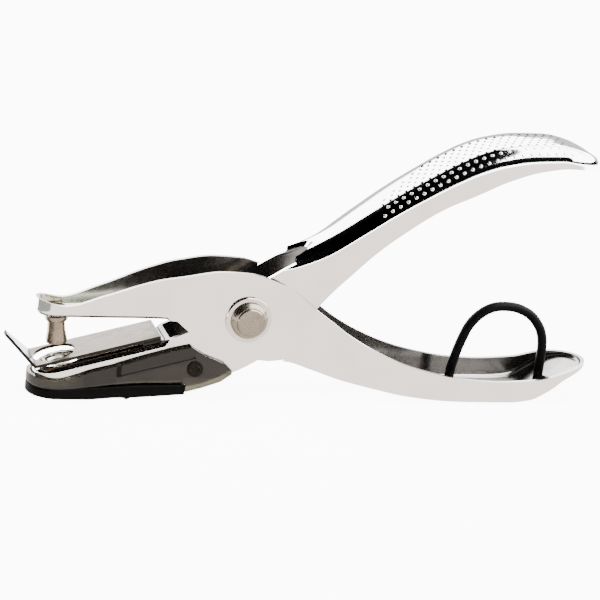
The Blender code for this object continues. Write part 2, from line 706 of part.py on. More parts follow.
def build_pivot():
    """The pivot rivet with its cap, two washers and the sleeve between the cheeks."""
    washer_seat = CHEEK_HALF + SEAT_GAP
    head_seat = washer_seat + WASHER_THICK + SEAT_GAP
    head = [
        (0, HEAD_THICK), (HEAD_FACE_RADIUS, HEAD_THICK), (HEAD_STEP_RADIUS, HEAD_THICK - HEAD_STEP),
        (HEAD_STEP_RADIUS + HEAD_LEDGE, HEAD_THICK - HEAD_STEP), (HEAD_RADIUS, HEAD_EDGE), (HEAD_RADIUS, 0),
    ]
    far_end = head_seat + CAP_SOCKET
    post = head + [(PIVOT_RADIUS, 0), (PIVOT_RADIUS, -head_seat - far_end), (0, -head_seat - far_end)]
    socket = CAP_SOCKET + SEAT_GAP
    cap = head + [(PIVOT_RADIUS + RUN_GAP, 0), (PIVOT_RADIUS + RUN_GAP, socket), (0, socket)]
    dress(turned("pivot_rivet", post, pivot, (0, -head_seat, 0), (math.pi / 2, 0, 0)), nickel)
    dress(turned("pivot_cap", cap, pivot, (0, head_seat, 0), (-math.pi / 2, 0, 0)), nickel)
    bore = PIVOT_RADIUS + RUN_GAP
    ring = [(WASHER_RADIUS, WASHER_THICK), (WASHER_RADIUS, 0), (bore, 0), (bore, WASHER_THICK)]
    dress(turned("washer_near", ring, pivot, (0, -washer_seat, 0), (math.pi / 2, 0, 0)), chrome)
    dress(turned("washer_far", ring, pivot, (0, washer_seat, 0), (-math.pi / 2, 0, 0)), chrome)
    half = INNER_HALF - SHEET - SEAT_GAP
    outside = bore + SLEEVE_WALL
    tube = [(outside, half), (outside, -half), (bore, -half), (bore, half)]
    dress(turned("pivot_sleeve", tube, pivot, (0, 0, 0), (math.pi / 2, 0, 0)), dark_steel)


def slope_of(line, x):
    """A line's slope at a place, as an angle."""
    return math.atan2(line(x + SHEET) - line(x - SHEET), 2 * SHEET)


def spring_path():
    """The return spring's path: a leg in the upper handle, the coil, a leg in the lower handle."""
    mean = PIVOT_RADIUS + RUN_GAP + SLEEVE_WALL + SEAT_GAP + WIRE / 2
    seat = WIRE / 2 + SEAT_GAP + SHEET
    upper_drop = seat / math.cos(slope_of(inner_web, UPPER_LEG_REACH))
    lower_rise = seat / math.cos(slope_of(outer_web, LEG_REACH))
    upper = (UPPER_LEG_REACH, inner_web(UPPER_LEG_REACH) - upper_drop)
    lower = (LEG_REACH, outer_web(LEG_REACH) + lower_rise)

    def tangent(point, side):
        distance = math.hypot(*point)
        base = math.atan2(point[1], point[0])
        return base + side * math.acos(mean / distance)

    start = tangent(upper, 1)
    stop = tangent(lower, -1) + 2 * math.pi * COIL_TURNS
    count = COIL_TURNS * COIL_POINTS
    width = COIL_PITCH * (stop - start) / (2 * math.pi)
    coil = []
    for index in range(count + 1):
        share = index / count
        turn = start + (stop - start) * share
        coil.append((mean * math.cos(turn), width * (share - 0.5), mean * math.sin(turn)))
    first = (upper[0], coil[0][1], upper[1])
    last = (lower[0], coil[-1][1], lower[1])
    return [first] + coil + [last]


def least_gap(path, radius):
    """The least gap between stretches of a path that aren't neighbours."""
    places = [Vector(point) for point in path]
    fine = []
    for start, end in zip(places, places[1:]):
        fine += [start.lerp(end, step / COIL_POINTS) for step in range(COIL_POINTS)]
    apart = COIL_POINTS * COIL_POINTS // 2
    least = min(
        (fine[first] - fine[second]).length
        for first in range(0, len(fine), 2)
        for second in range(first + apart, len(fine), 2)
    )
    return least - 2 * radius


def build_spring():
    """The torsion spring that opens the jaws."""
    path = spring_path()
    print("return_spring least gap to itself, mm:", round(least_gap(path, WIRE / 2) / MM, 3))
    made = wire_object("return_spring", path, WIRE / 2, pivot, 1)
    made.data.materials.append(spring_steel)


def build_punch():
    """The punch pin, headed above the web, and the collar below it."""
    web_up = PIN_DROP + outer_web(-PIN_REACH)
    collar_top = web_up - SEAT_GAP
    collar_low = collar_top - COLLAR_THICK
    head_low = web_up + SHEET + SEAT_GAP
    shoulder = collar_low - SEAT_GAP
    place = (-PIN_REACH, 0, -PIN_DROP)
    turn = (0, -PIN_TILT, 0)
    pin = [
        (0, head_low + PIN_HEAD_THICK), (PIN_HEAD - PIN_RAKE, head_low + PIN_HEAD_THICK),
        (PIN_HEAD, head_low + PIN_HEAD_THICK / 2), (PIN_HEAD, head_low), (PIN_SHANK, head_low),
        (PIN_SHANK, shoulder), (PIN_WAIST, shoulder), (PIN_RADIUS, PIN_RAKE), (PIN_RADIUS, 0),
        (0, PIN_HOLLOW),
    ]
    dress(turned("punch_pin", pin, pivot, place, turn), tool_steel)
    bore = PIN_SHANK + RUN_GAP
    ring = [
        (COLLAR_RADIUS, collar_top), (COLLAR_RADIUS, collar_top - COLLAR_LAND),
        (COLLAR_RADIUS - COLLAR_TAPER, collar_low), (bore, collar_low), (bore, collar_top),
    ]
    dress(turned("punch_collar", ring, pivot, place, turn), nickel)


def build_die():
    """The hardened die bush, flush with the platform."""
    bore = DIE_BORE
    outside = DIE_BORE + DIE_WALL
    ring = [(outside, 0), (outside, -DIE_THICK), (bore, -DIE_THICK), (bore, 0)]
    made = turned("die_bush", ring, inner_axis, (DIE_X, 0, DIE_Z), (0, -DIE_TILT, 0))
    dress(made, tool_steel)


def strip_point(x, up):
    """A point above the platform, a distance up square to it."""
    return (x - up * math.sin(PLATFORM_SLOPE), platform(x) + up * math.cos(PLATFORM_SLOPE))


def build_stripper():
    """The spring strip over the platform, its spacer and its two flush rivets."""
    low = PAPER_GAP
    high = PAPER_GAP + STRIP_THICK
    bend = strip_point(-STRIP_FRONT, low)
    rise = LIP_ANGLE
    tip = (bend[0] - LIP_REACH, bend[1] + LIP_REACH * math.tan(rise))
    thick = (STRIP_THICK * math.sin(rise), STRIP_THICK * math.cos(rise))
    bend_top = strip_point(-STRIP_FRONT + STRIP_THICK * math.tan((rise + PLATFORM_SLOPE) / 2), high)
    outline = [
        strip_point(-STRIP_REAR, low), bend, tip, (tip[0] + thick[0], tip[1] + thick[1]), bend_top,
        strip_point(-STRIP_REAR, high),
    ]
    strip = flat_plate("stripper_plate", outline, -STRIP_HALF, STRIP_HALF, "XZ", inner_axis)
    rear = -STRIP_REAR + OVERRUN
    root = bend[0]
    far_side = [(rear, STRIP_HALF), (root, STRIP_HALF)]
    for index in range(LIP_STEPS + 1):
        turn = math.pi / 2 * index / LIP_STEPS
        across = LIP_TIP_HALF - LIP_CORNER * (1 - math.cos(turn))
        far_side.append((tip[0] + LIP_CORNER * (1 - math.sin(turn)), across))
    plan = far_side + [(x, -across) for x, across in reversed(far_side)]
    shape = flat_plate("strip_plan", plan, -PIVOT_HEIGHT, PIVOT_HEIGHT, "XY", inner_axis)
    cut(strip, as_cutter(shape), "INTERSECT")
    hole_place = rested(pin_point(0), BITE * STRIP_HOLE_SHARE)
    hole = rod(
        "strip_hole", STRIP_HOLE_RADIUS, -OVERRUN, OVERRUN, inner_axis,
        (hole_place[0], platform(hole_place[0])), DIE_TILT, ROUND_STEPS, "Z",
    )
    cut(strip, as_cutter(hole))
    spacer_low, spacer_high = SEAT_GAP, PAPER_GAP - SEAT_GAP
    spacer_front = -STRIP_REAR - SPACER_LENGTH
    outline = [
        strip_point(-STRIP_REAR, spacer_low), strip_point(-STRIP_REAR, spacer_high),
        strip_point(spacer_front, spacer_high), strip_point(spacer_front, spacer_low),
    ]
    spacer = flat_plate("stripper_spacer", outline, -STRIP_HALF, STRIP_HALF, "XZ", inner_axis)
    middle = strip_point(-STRIP_REAR - SPACER_LENGTH / 2, 0)
    for side, side_name in ((-1, "near"), (1, "far")):
        bore = STRIP_RIVET_RADIUS + RUN_GAP
        sink_foot = low + STRIP_SINK_LAND
        profile = [
            (0, high), (STRIP_RIVET_HEAD, high), (STRIP_RIVET_RADIUS, sink_foot),
            (STRIP_RIVET_RADIUS, -SHEET - SEAT_GAP), (STRIP_RIVET_HEAD, -SHEET - SEAT_GAP),
            (STRIP_RIVET_HEAD, -SHEET - 3 * SEAT_GAP), (0, -SHEET - 3 * SEAT_GAP),
        ]
        place = (middle[0], side * STRIP_RIVET_SPREAD, middle[1])
        turn = (0, -PLATFORM_SLOPE, 0)
        rivet = turned(f"stripper_rivet_{side_name}", profile, inner_axis, place, turn, SMALL_STEPS)
        dress(rivet, spring_steel)
        countersink = [
            (0, high + RUN_GAP), (STRIP_RIVET_HEAD + 2 * RUN_GAP, high + RUN_GAP), (bore, sink_foot),
            (bore, -SHEET - OVERRUN), (0, -SHEET - OVERRUN),
        ]
        drill = as_cutter(
            turned(f"strip_drill_{side_name}", countersink, inner_axis, place, turn, SMALL_STEPS)
        )
        for piece in (strip, spacer, bpy.data.objects["inner_lever"]):
            cut(piece, drill)
    dress(strip, spring_steel)
    dress(spacer, dark_steel)


def build_tray():
    """The smoky chip tray, its black base and its hinge pin."""
    end = -TRAY_FLOOR_END
    data = channel(
        "chip_tray", (-TRAY_LENGTH, end), (TRAY_NOSE_ROUND, 0), lambda x: TRAY_HALF, tray_edge, tray_floor,
        lambda x: TRAY_CORNER, (), TRAY_STEPS,
    )
    data.transform(Matrix.Translation(tray_place))
    tray = add_object("chip_tray", data, tray_axis)
    sheet_modifiers(tray, TRAY_WALL)
    wing = scaled(WING_SHARES, -TRAY_LENGTH, PIVOT_HEIGHT)
    under = scaled(WING_UNDER_SHARES, -TRAY_LENGTH, PIVOT_HEIGHT)
    band_front = -TRAY_EDGE_SHARES[5][0] * TRAY_LENGTH
    band = [(x, tray_edge(x)) for x in np.linspace(band_front, wing[0][0], BAND_STEPS)][:-1]
    outline = band + wing + under
    wing_front = under[-1][0]
    outline += [(wing_front, tray_floor(wing_front)), (wing_front, tray_edge(wing[0][0]) - WING_DEPTH)]
    outline += [(band_front, tray_edge(band_front) - BAND_DEPTH)]
    inside = INNER_HALF + WING_GAP
    outside = TRAY_HALF + BAND_PROUD
    hinge = (-TRAY_PIN_BACK, -TRAY_PIN_DROP)
    for low, high, name in ((-outside, -inside, "near"), (inside, outside, "far")):
        side = flat_plate(f"wing_{name}", outline, low, high, "XZ", inner_axis)
        cut(tray, as_cutter(side), "UNION")
        side_sign = math.copysign(1, low)
        ends = sorted(side_sign * reach for reach in (inside + SEAT_GAP, outside + TRAY_BOSS_PROUD))
        boss = rod(f"boss_{name}", TRAY_BOSS_RADIUS, *ends, inner_axis, hinge, steps=SMALL_STEPS)
        cut(tray, as_cutter(boss), "UNION")
    cross_hole(tray, "tray_pin_hole", TRAY_PIN_RADIUS + RUN_GAP, hinge, inner_axis, SMALL_STEPS)
    dress(tray, smoke)
    reach = outside + TRAY_BOSS_PROUD - SEAT_GAP
    pin = rod("tray_pin", TRAY_PIN_RADIUS, -reach, reach, inner_axis, hinge, steps=SMALL_STEPS)
    dress(pin, nickel)

    base_end = wing_front - RUN_GAP
    plan = [(base_end, -TRAY_HALF)]
    for index in range(SMALL_STEPS + 1):
        turn = math.pi * index / SMALL_STEPS
        plan.append((-TRAY_LENGTH + TRAY_NOSE_ROUND * (1 - math.sin(turn)), -TRAY_HALF * math.cos(turn)))
    plan.append((base_end, TRAY_HALF))
    base = flat_plate("tray_base", plan, -PIVOT_HEIGHT - OVERRUN, 0, "XY", tray_axis)
    base.data.transform(Matrix.Translation(tray_place))
    under_line = [(-along * TRAY_LENGTH, up * PIVOT_HEIGHT) for along, up in BASE_UNDER_SHARES]
    nub = -NUB_SHARE * TRAY_LENGTH
    nub_level = under_line[2][1]
    side = [(-TRAY_LENGTH - OVERRUN, under_line[0][1])] + under_line[1:3]
    side += [(nub - NUB_HALF, nub_level), (nub, nub_level - NUB_DEPTH), (nub + NUB_HALF, nub_level)]
    side += [(end + OVERRUN, under_line[3][1]), (end + OVERRUN, tray_floor(end) - SEAT_GAP)]
    side += [(x, tray_floor(x) - SEAT_GAP) for x in np.linspace(end, -TRAY_LENGTH - OVERRUN, BASE_STEPS)]
    cut(base, upright_cutter("base_side", side, TRAY_HALF + OVERRUN, inner_axis), "INTERSECT")
    dress(base, black)


def loop_points():
    """The hang loop's centre line, from foot to foot, as a smooth curve through its bow's shares."""
    fronts = [(LOOP_FRONT + along * LOOP_SPAN, up) for along, up in LOOP_BOW_SHARES]
    feet = (outer_web(fronts[0][0]), outer_web(fronts[-1][0]))
    rough = []
    for x, up in fronts:
        foot = feet[0] if x < LOOP_FRONT + LOOP_SPAN / 2 else feet[1]
        foot += SEAT_GAP
        rough.append(Vector((x, 0, foot + up * (LOOP_TOP - foot))))
    path = []
    for index in range(len(rough) - 1):
        p0, p1 = rough[max(index - 1, 0)], rough[index]
        p2, p3 = rough[index + 1], rough[min(index + 2, len(rough) - 1)]
        for step in range(LOOP_STEPS):
            t = step / LOOP_STEPS
            path.append(
                0.5 * ((2 * p1) + (p2 - p0) * t + (2 * p0 - 5 * p1 + 4 * p2 - p3) * t**2
                       + (3 * p1 - p0 - 3 * p2 + p3) * t**3)
            )
    path.append(rough[-1])
    return path


def build_loop():
    """The black sheathed wire bow, both feet through the lower handle's web."""
    made = wire_object("hang_loop", loop_points(), LOOP_RADIUS, pivot, 2)
    made.data.materials.append(black)


build_outer_lever()
build_inner_lever()
build_pivot()
build_spring()
build_punch()
build_die()
build_stripper()
build_tray()
build_loop()
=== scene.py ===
"""The looks of a plier-style single hole punch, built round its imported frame.

Every length is in metres.  The lever shells, the spring, the bow and the tray are modelled here again, finer than
the frame's own solids and in the same places, and every surface gets a procedural finish.
"""

from __future__ import annotations

import logging
import math
from collections.abc import Callable
from dataclasses import dataclass, field, replace
from enum import Enum

import bmesh
import bpy
from mathutils import Matrix, Vector


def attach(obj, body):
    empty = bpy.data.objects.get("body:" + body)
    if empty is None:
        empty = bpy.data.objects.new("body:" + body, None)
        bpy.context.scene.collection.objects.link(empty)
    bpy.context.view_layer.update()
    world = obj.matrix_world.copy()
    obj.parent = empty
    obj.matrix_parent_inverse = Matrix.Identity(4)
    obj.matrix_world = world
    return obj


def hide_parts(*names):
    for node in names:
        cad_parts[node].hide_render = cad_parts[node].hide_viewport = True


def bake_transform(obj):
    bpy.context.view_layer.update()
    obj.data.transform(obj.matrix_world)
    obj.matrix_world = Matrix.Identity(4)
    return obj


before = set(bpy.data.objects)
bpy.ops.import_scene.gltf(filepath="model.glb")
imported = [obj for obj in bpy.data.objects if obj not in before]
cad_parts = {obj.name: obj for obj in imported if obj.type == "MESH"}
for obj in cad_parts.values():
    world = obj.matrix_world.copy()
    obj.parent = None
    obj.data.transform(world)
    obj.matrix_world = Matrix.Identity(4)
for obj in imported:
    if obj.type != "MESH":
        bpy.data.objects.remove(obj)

LOG = logging.getLogger("hole_punch")
Number = float
Pair = tuple[float, float]
WELD = 1e-6


class Body(Enum):
    """The moving bodies of the punch."""

    OUTER = "outer_lever"
    INNER = "inner_lever"
    TRAY = "chip_tray"


class Slot(Enum):
    """The record's material slots."""

    CHROME = "chrome"
    NICKEL = "nickel"
    TOOL_STEEL = "tool_steel"
    SPRING_STEEL = "spring_steel"
    DARK_STEEL = "dark_steel"
    SMOKE = "smoke_plastic"
    BLACK = "black_plastic"
    SHEATH = "bow_sheath"


class Signal:
    """A shader socket that takes part in Python sums."""

    def __init__(self, bench: Bench, socket: bpy.types.NodeSocket) -> None:
        """Wrap a socket.

        Args:
            bench: the material's bench, which adds the nodes.
            socket: the output socket whose value is used.
        """
        self.bench = bench
        self.socket = socket

    def math(self, operation: str, *others: Signal | Number, first: Signal | Number | None = None) -> Signal:
        """Add one Math node.

        Args:
            operation: the Math node's operation.
            others: the values after the first one.
            first: the first value, where it isn't this signal.

        Returns:
            The node's result.
        """
        values = [self if first is None else first, *others]
        return self.bench.add("ShaderNodeMath", {"operation": operation}, dict(enumerate(values)))

    def __add__(self, other: Signal | Number) -> Signal:
        """Sum."""
        return self.math("ADD", other)

    def __radd__(self, other: Number) -> Signal:
        """Sum, with a number first."""
        return self.math("ADD", other)

    def __sub__(self, other: Signal | Number) -> Signal:
        """Difference."""
        return self.math("SUBTRACT", other)

    def __rsub__(self, other: Number) -> Signal:
        """Difference from a number."""
        return self.math("SUBTRACT", self, first=other)

    def __mul__(self, other: Signal | Number) -> Signal:
        """Product."""
        return self.math("MULTIPLY", other)

    def __rmul__(self, other: Number) -> Signal:
        """Product, with a number first."""
        return self.math("MULTIPLY", other)

    def __pow__(self, other: Signal | Number) -> Signal:
        """Power."""
        return self.math("POWER", other)

    def __lt__(self, other: Signal | Number) -> Signal:
        """One where this signal is the smaller."""
        return self.math("LESS_THAN", other)

    def __gt__(self, other: Signal | Number) -> Signal:
        """One where this signal is the larger."""
        return self.math("GREATER_THAN", other)

    def most(self, other: Signal | Number) -> Signal:
        """The larger of two."""
        return self.math("MAXIMUM", other)

    def ramp(self, low: float, high: float, start: float = 0.0, end: float = 1.0) -> Signal:
        """A smooth step from start to end as the signal goes from low to high.

        Args:
            low: where the step starts.
            high: where it ends.
            start: the value before it.
            end: the value after it.

        Returns:
            The stepped signal.
        """
        return self.bench.add(
            "ShaderNodeMapRange", {"interpolation_type": "SMOOTHSTEP"},
            {"Value": self, "From Min": low, "From Max": high, "To Min": start, "To Max": end},
        )


class Bench:
    """One material under construction."""

    def __init__(self, title: str) -> None:
        """Start a material with a Principled shader.

        Args:
            title: the material's name.
        """
        self.material = bpy.data.materials.new(title)
        self.material.use_nodes = True
        self.nodes = self.material.node_tree.nodes
        self.links = self.material.node_tree.links
        self.shader = self.nodes["Principled BSDF"]
        self._place: Signal | None = None

    def feed(self, socket: bpy.types.NodeSocket, value: object) -> None:
        """Set or link one input.

        Args:
            socket: the input.
            value: a signal to link, or a plain value to set.
        """
        if isinstance(value, Signal):
            self.links.new(value.socket, socket)
        else:
            socket.default_value = value

    def add(self, kind: str, settings: dict[str, object], inputs: dict[object, object], output: object = 0) -> Signal:
        """Add any node.

        Args:
            kind: the node's type.
            settings: its properties, which are set first.
            inputs: values or signals by socket name or number.
            output: which output to use.

        Returns:
            The chosen output.
        """
        made = self.nodes.new(kind)
        for name, value in settings.items():
            setattr(made, name, value)
        for name, value in inputs.items():
            self.feed(made.inputs[name], value)
        return Signal(self, made.outputs[output])

    def place(self) -> Signal:
        """The object's own coordinates, in metres."""
        if self._place is None:
            self._place = self.add("ShaderNodeTexCoord", {}, {}, "Object")
        return self._place

    def axis(self, name: str) -> Signal:
        """One of the object's coordinates.

        Args:
            name: X, Y or Z.

        Returns:
            That coordinate in metres.
        """
        return self.add("ShaderNodeSeparateXYZ", {}, {0: self.place()}, name)

    def noise(self, scale: float, detail: float = 3.0, roughness: float = 0.55, stretch: tuple = (1, 1, 1)) -> Signal:
        """Cloudy noise.

        Args:
            scale: how many features lie in a metre.
            detail: octaves.
            roughness: how strong the fine ones are.
            stretch: scale along each axis.

        Returns:
            A value from 0 to 1.
        """
        where = self.add("ShaderNodeVectorMath", {"operation": "MULTIPLY"}, {0: self.place(), 1: stretch})
        return self.add(
            "ShaderNodeTexNoise", {}, {"Vector": where, "Scale": scale, "Detail": detail, "Roughness": roughness}
        )

    def mix(self, factor: Signal, low: tuple, high: tuple) -> Signal:
        """Mix two colours, each a plain colour or a signal.

        Args:
            factor: 0 for the first, 1 for the second.
            low: the first colour.
            high: the second colour.

        Returns:
            The mixed colour.
        """
        return self.add("ShaderNodeMix", {"data_type": "RGBA"}, {0: factor, 6: low, 7: high}, 2)

    def bump(self, height: Signal, distance: float, strength: float = 1.0, below: Signal | None = None) -> Signal:
        """A Bump node.

        Args:
            height: the height, in shares of the distance.
            distance: the height of one, in metres.
            strength: how much of it shows.
            below: a bump under this one.

        Returns:
            The bent normal.
        """
        inputs: dict[object, object] = {"Height": height, "Distance": distance, "Strength": strength}
        if below is not None:
            inputs["Normal"] = below
        return self.add("ShaderNodeBump", {}, inputs)

    def principled(self, **inputs: object) -> None:
        """Set or link the shader's inputs, named with underscores for spaces."""
        for name, value in inputs.items():
            self.feed(self.shader.inputs[name.replace("_", " ")], value)

    def over(self, factor: Signal, **inputs: object) -> None:
        """Lay a second Principled shader over the first.

        Args:
            factor: how much of the second shows.
            inputs: the second shader's inputs.
        """
        named = {name.replace("_", " "): value for name, value in inputs.items()}
        second = self.add("ShaderNodeBsdfPrincipled", {}, named)
        both = self.add("ShaderNodeMixShader", {}, {0: factor, 1: Signal(self, self.shader.outputs[0]), 2: second})
        self.feed(self.nodes["Material Output"].inputs[0], both)


@dataclass(frozen=True)
class ChromePlate:
    """Bright chrome on pressed sheet, with the faint waviness of the press."""

    tint: tuple = (0.93, 0.925, 0.92, 1)
    worn: tuple = (0.86, 0.85, 0.84, 1)
    slot: Slot = Slot.CHROME

    def material(self) -> bpy.types.Material:
        """Build the finish.

        Returns:
            The material.
        """
        bench = Bench("chrome_plate")
        haze = bench.noise(90, 4)
        specks = bench.noise(2600, 2).ramp(0.66, 0.74)
        colour = bench.mix(haze.ramp(0.35, 0.75), self.tint, self.worn)
        wave = bench.bump(bench.noise(42, 2, 0.4), 0.00012, 0.35)
        grain = bench.bump(bench.noise(900, 3), 0.000004, 0.5, wave)
        bench.principled(
            Base_Color=colour, Metallic=1.0, Roughness=haze * 0.06 + specks * 0.1 + 0.055, Normal=grain
        )
        return bench.material


@dataclass(frozen=True)
class InsideShadeChrome:
    """Chrome on the inside faces, painted dark as shade with cloudy darker patches, and painted lighter towards the
    jaws' nose as a reflection.
    """

    tint: tuple = (0.30, 0.29, 0.28, 1)
    deeper_painted_shade: tuple = (0.12, 0.115, 0.11, 1)
    nose_painted_reflection: tuple = (0.42, 0.42, 0.385, 1)

    def material(self) -> bpy.types.Material:
        """Build the finish.

        Returns:
            The material.
        """
        bench = Bench("chrome_inside_painted_shade")
        cloud = bench.noise(60, 4, 0.6, (0.35, 1, 1))
        # Painted reflection: the inside turns lighter towards the nose
        nose = (bench.axis("X") + cloud * 0.01).ramp(-0.0265, -0.0245, 1.0, 0.0)
        plain = bench.mix(cloud.ramp(0.35, 0.7), self.tint, self.deeper_painted_shade)
        bench.principled(
            Base_Color=bench.mix(nose, plain, self.nose_painted_reflection), Metallic=1.0,
            Roughness=cloud * 0.16 + 0.10, Normal=bench.bump(bench.noise(55, 3), 0.0001, 0.5),
        )
        return bench.material


@dataclass(frozen=True)
class PlainMetal:
    """A turned or rolled metal, brushed along one axis."""

    title: str
    tint: tuple
    dark: tuple
    slot: Slot
    gloss: float = 0.25
    stretch: tuple = (1, 1, 1)
    grain: float = 0.000006

    def material(self) -> bpy.types.Material:
        """Build the finish.

        Returns:
            The material.
        """
        bench = Bench(self.title)
        cloud = bench.noise(260, 4)
        lines = bench.noise(1500, 3, 0.6, self.stretch)
        colour = bench.mix((cloud * 0.6 + lines * 0.4).ramp(0.3, 0.75), self.tint, self.dark)
        bench.principled(
            Base_Color=colour, Metallic=1.0, Roughness=lines * 0.16 + self.gloss, Normal=bench.bump(lines, self.grain)
        )
        return bench.material


@dataclass(frozen=True)
class StripPlate:
    """The strip's rolled steel, with painted shade darkening its rear end."""

    tint: tuple = (0.080, 0.061, 0.043, 1)
    dark: tuple = (0.040, 0.030, 0.021, 1)
    rear: tuple = (0.022, 0.020, 0.013, 1)
    slot: Slot = Slot.SPRING_STEEL

    def material(self) -> bpy.types.Material:
        """Build the finish.

        Returns:
            The material.
        """
        bench = Bench("strip_plate")
        lines = bench.noise(1500, 3, 0.6, (0.1, 1, 1))
        colour = bench.mix(lines.ramp(0.3, 0.75), self.tint, self.dark)
        # Painted shade: darker towards the strip's rear end
        rear = (bench.axis("X") - bench.axis("Y") * 0.3).ramp(-0.0275, -0.0215)
        bench.principled(
            Base_Color=bench.mix(rear, colour, self.rear), Metallic=1.0, Roughness=lines * 0.12 + 0.2,
            Normal=bench.bump(lines, 0.000005),
        )
        return bench.material


@dataclass(frozen=True)
class SmokePlastic:
    """Clear moulded plastic with an olive-grey smoke tint."""

    tint: tuple = (0.072, 0.066, 0.050, 1)
    deep: tuple = (0.044, 0.040, 0.028, 1)
    # The painted light's colour towards the nose
    nose: tuple = (0.115, 0.11, 0.08, 1)
    shade: tuple = (0.018, 0.016, 0.011, 1)
    # The painted highlight's colour along the wing's lower edge
    clear: tuple = (0.30, 0.30, 0.20, 1)
    # The painted shadow lines' colour
    line: tuple = (0.002, 0.002, 0.001, 1)
    slot: Slot = Slot.SMOKE

    def material(self) -> bpy.types.Material:
        """Build the finish.

        Returns:
            The material.
        """
        bench = Bench("smoke_plastic")
        flow = bench.noise(130, 3, 0.5, (1, 1, 2.5))
        x, z = bench.axis("X"), bench.axis("Z")
        (x0, z0), (x1, z1) = LEDGE
        # Painted shadow lines: along the ledge's step, as a short upright bar at its front end and as a ring round
        # the boss
        ledge = ((z - (x - x0) * ((z1 - z0) / (x1 - x0)) - z0).math("ABSOLUTE")).ramp(0.00012, 0.00034, 1.0, 0.0)
        along = (x > x0) * (x < x1 + 0.001)
        stop = ((x - x0 - 0.0005).math("ABSOLUTE")).ramp(0.0004, 0.0007, 1.0, 0.0) * (z > z0 - 0.0002)
        ring = ((x - TRAY_PIN[0]) ** 2 + (z - TRAY_PIN[1]) ** 2) ** 0.5
        boss = ring.ramp(0.0011, 0.0014) * ring.ramp(0.0019, 0.0022, 1.0, 0.0)
        lines = (ledge * along).most(stop).most(boss)
        # Painted highlight: a lighter band along the wing's curved lower line
        rear = z - x * x * 26.1 - x * 0.8643 + 0.0128
        edge = (rear.ramp(0.0012, 0.0018, 1.0, 0.0)) * (x > -0.0146)
        shade = ((x + flow * 0.004).ramp(-0.0405, -0.0385) * (x < x0)).most((z > x * 0.2637 - 0.00724) * along)
        body = bench.mix(flow.ramp(0.35, 0.7), self.tint, self.deep)
        # Painted light: the body turns lighter towards the nose
        body = bench.mix((x + flow * 0.006).ramp(-0.043, -0.039, 1.0, 0.0), body, self.nose)
        colour = bench.mix(edge, bench.mix(shade, body, self.shade), self.clear)
        bench.principled(
            Base_Color=colour, Roughness=flow * 0.1 + 0.09, Transmission_Weight=0.5, IOR=1.49,
            Specular_IOR_Level=0.25, Normal=bench.bump(flow, 0.00006, 0.5),
        )
        # The painted shadow lines, laid over the smoke as a dark opaque shader
        bench.over(
            lines * 0.9, Base_Color=bench.mix(flow, self.line, self.shade), Roughness=0.5, Specular_IOR_Level=0.05
        )
        return bench.material


@dataclass(frozen=True)
class DarkPlastic:
    """Black plastic, moulded or sheathed."""

    title: str
    slot: Slot
    tint: tuple = (0.002, 0.002, 0.002, 1)
    worn: tuple = (0.005, 0.005, 0.005, 1)
    gloss: float = 0.3

    def material(self) -> bpy.types.Material:
        """Build the finish.

        Returns:
            The material.
        """
        bench = Bench(self.title)
        cloud = bench.noise(700, 3)
        bench.principled(
            Base_Color=bench.mix(cloud.ramp(0.4, 0.75), self.tint, self.worn), Roughness=cloud * 0.18 + self.gloss,
            Normal=bench.bump(cloud, 0.00001, 0.6), Specular_IOR_Level=0.05,
        )
        return bench.material


@dataclass
class Finishes:
    """Every finish of the punch, made once."""

    chrome: ChromePlate = ChromePlate()
    # The lining finish is painted shade on the channels' inside faces
    lining: InsideShadeChrome = InsideShadeChrome()
    nickel: PlainMetal = PlainMetal(
        "nickel", (0.30, 0.262, 0.215, 1), (0.21, 0.18, 0.145, 1), Slot.NICKEL, 0.2, (1, 0.2, 1)
    )
    washer: PlainMetal = PlainMetal(
        "washer_steel", (0.80, 0.75, 0.70, 1), (0.66, 0.61, 0.56, 1), Slot.CHROME, 0.1
    )
    tool: PlainMetal = PlainMetal(
        "tool_steel", (0.30, 0.25, 0.19, 1), (0.17, 0.14, 0.10, 1), Slot.TOOL_STEEL, 0.14, (1, 1, 0.15)
    )
    strip: PlainMetal = PlainMetal(
        "strip_steel", (0.13, 0.112, 0.09, 1), (0.10, 0.085, 0.068, 1), Slot.SPRING_STEEL, 0.3, (0.1, 1, 1)
    )
    guide: StripPlate = StripPlate()
    wire: PlainMetal = PlainMetal(
        "wire_steel", (0.52, 0.47, 0.40, 1), (0.36, 0.32, 0.27, 1), Slot.SPRING_STEEL, 0.28
    )
    dark: PlainMetal = PlainMetal(
        "dark_steel", (0.030, 0.028, 0.025, 1), (0.016, 0.015, 0.013, 1), Slot.DARK_STEEL, 0.3
    )
    shaded: PlainMetal = PlainMetal(
        "shaded_nickel", (0.016, 0.0145, 0.012, 1), (0.010, 0.009, 0.0075, 1), Slot.NICKEL, 0.3
    )
    smoke: SmokePlastic = SmokePlastic()
    black: DarkPlastic = DarkPlastic("black_plastic", Slot.BLACK)
    sheath: DarkPlastic = DarkPlastic("bow_sheath", Slot.SHEATH, gloss=0.34)
    made: dict[str, bpy.types.Material] = field(default_factory=dict)

    def get(self, name: str) -> bpy.types.Material:
        """A finish's material, made when it is first asked for.

        Args:
            name: the finish's field name.

        Returns:
            The material.
        """
        if name not in self.made:
            self.made[name] = getattr(self, name).material()
        return self.made[name]

    def apply(self, piece: bpy.types.Object, name: str, lining: str | None = None) -> None:
        """Give a piece one of the finishes.

        Args:
            piece: the mesh object.
            name: the finish's field name.
            lining: the finish of its lining faces, if it has any.
        """
        kept = [polygon.material_index for polygon in piece.data.polygons]
        piece.data.materials.clear()
        for wanted in filter(None, (name, lining)):
            piece.data.materials.append(self.get(wanted))
        if lining:
            piece.data.polygons.foreach_set("material_index", kept)
        getattr(self, name).slot.value


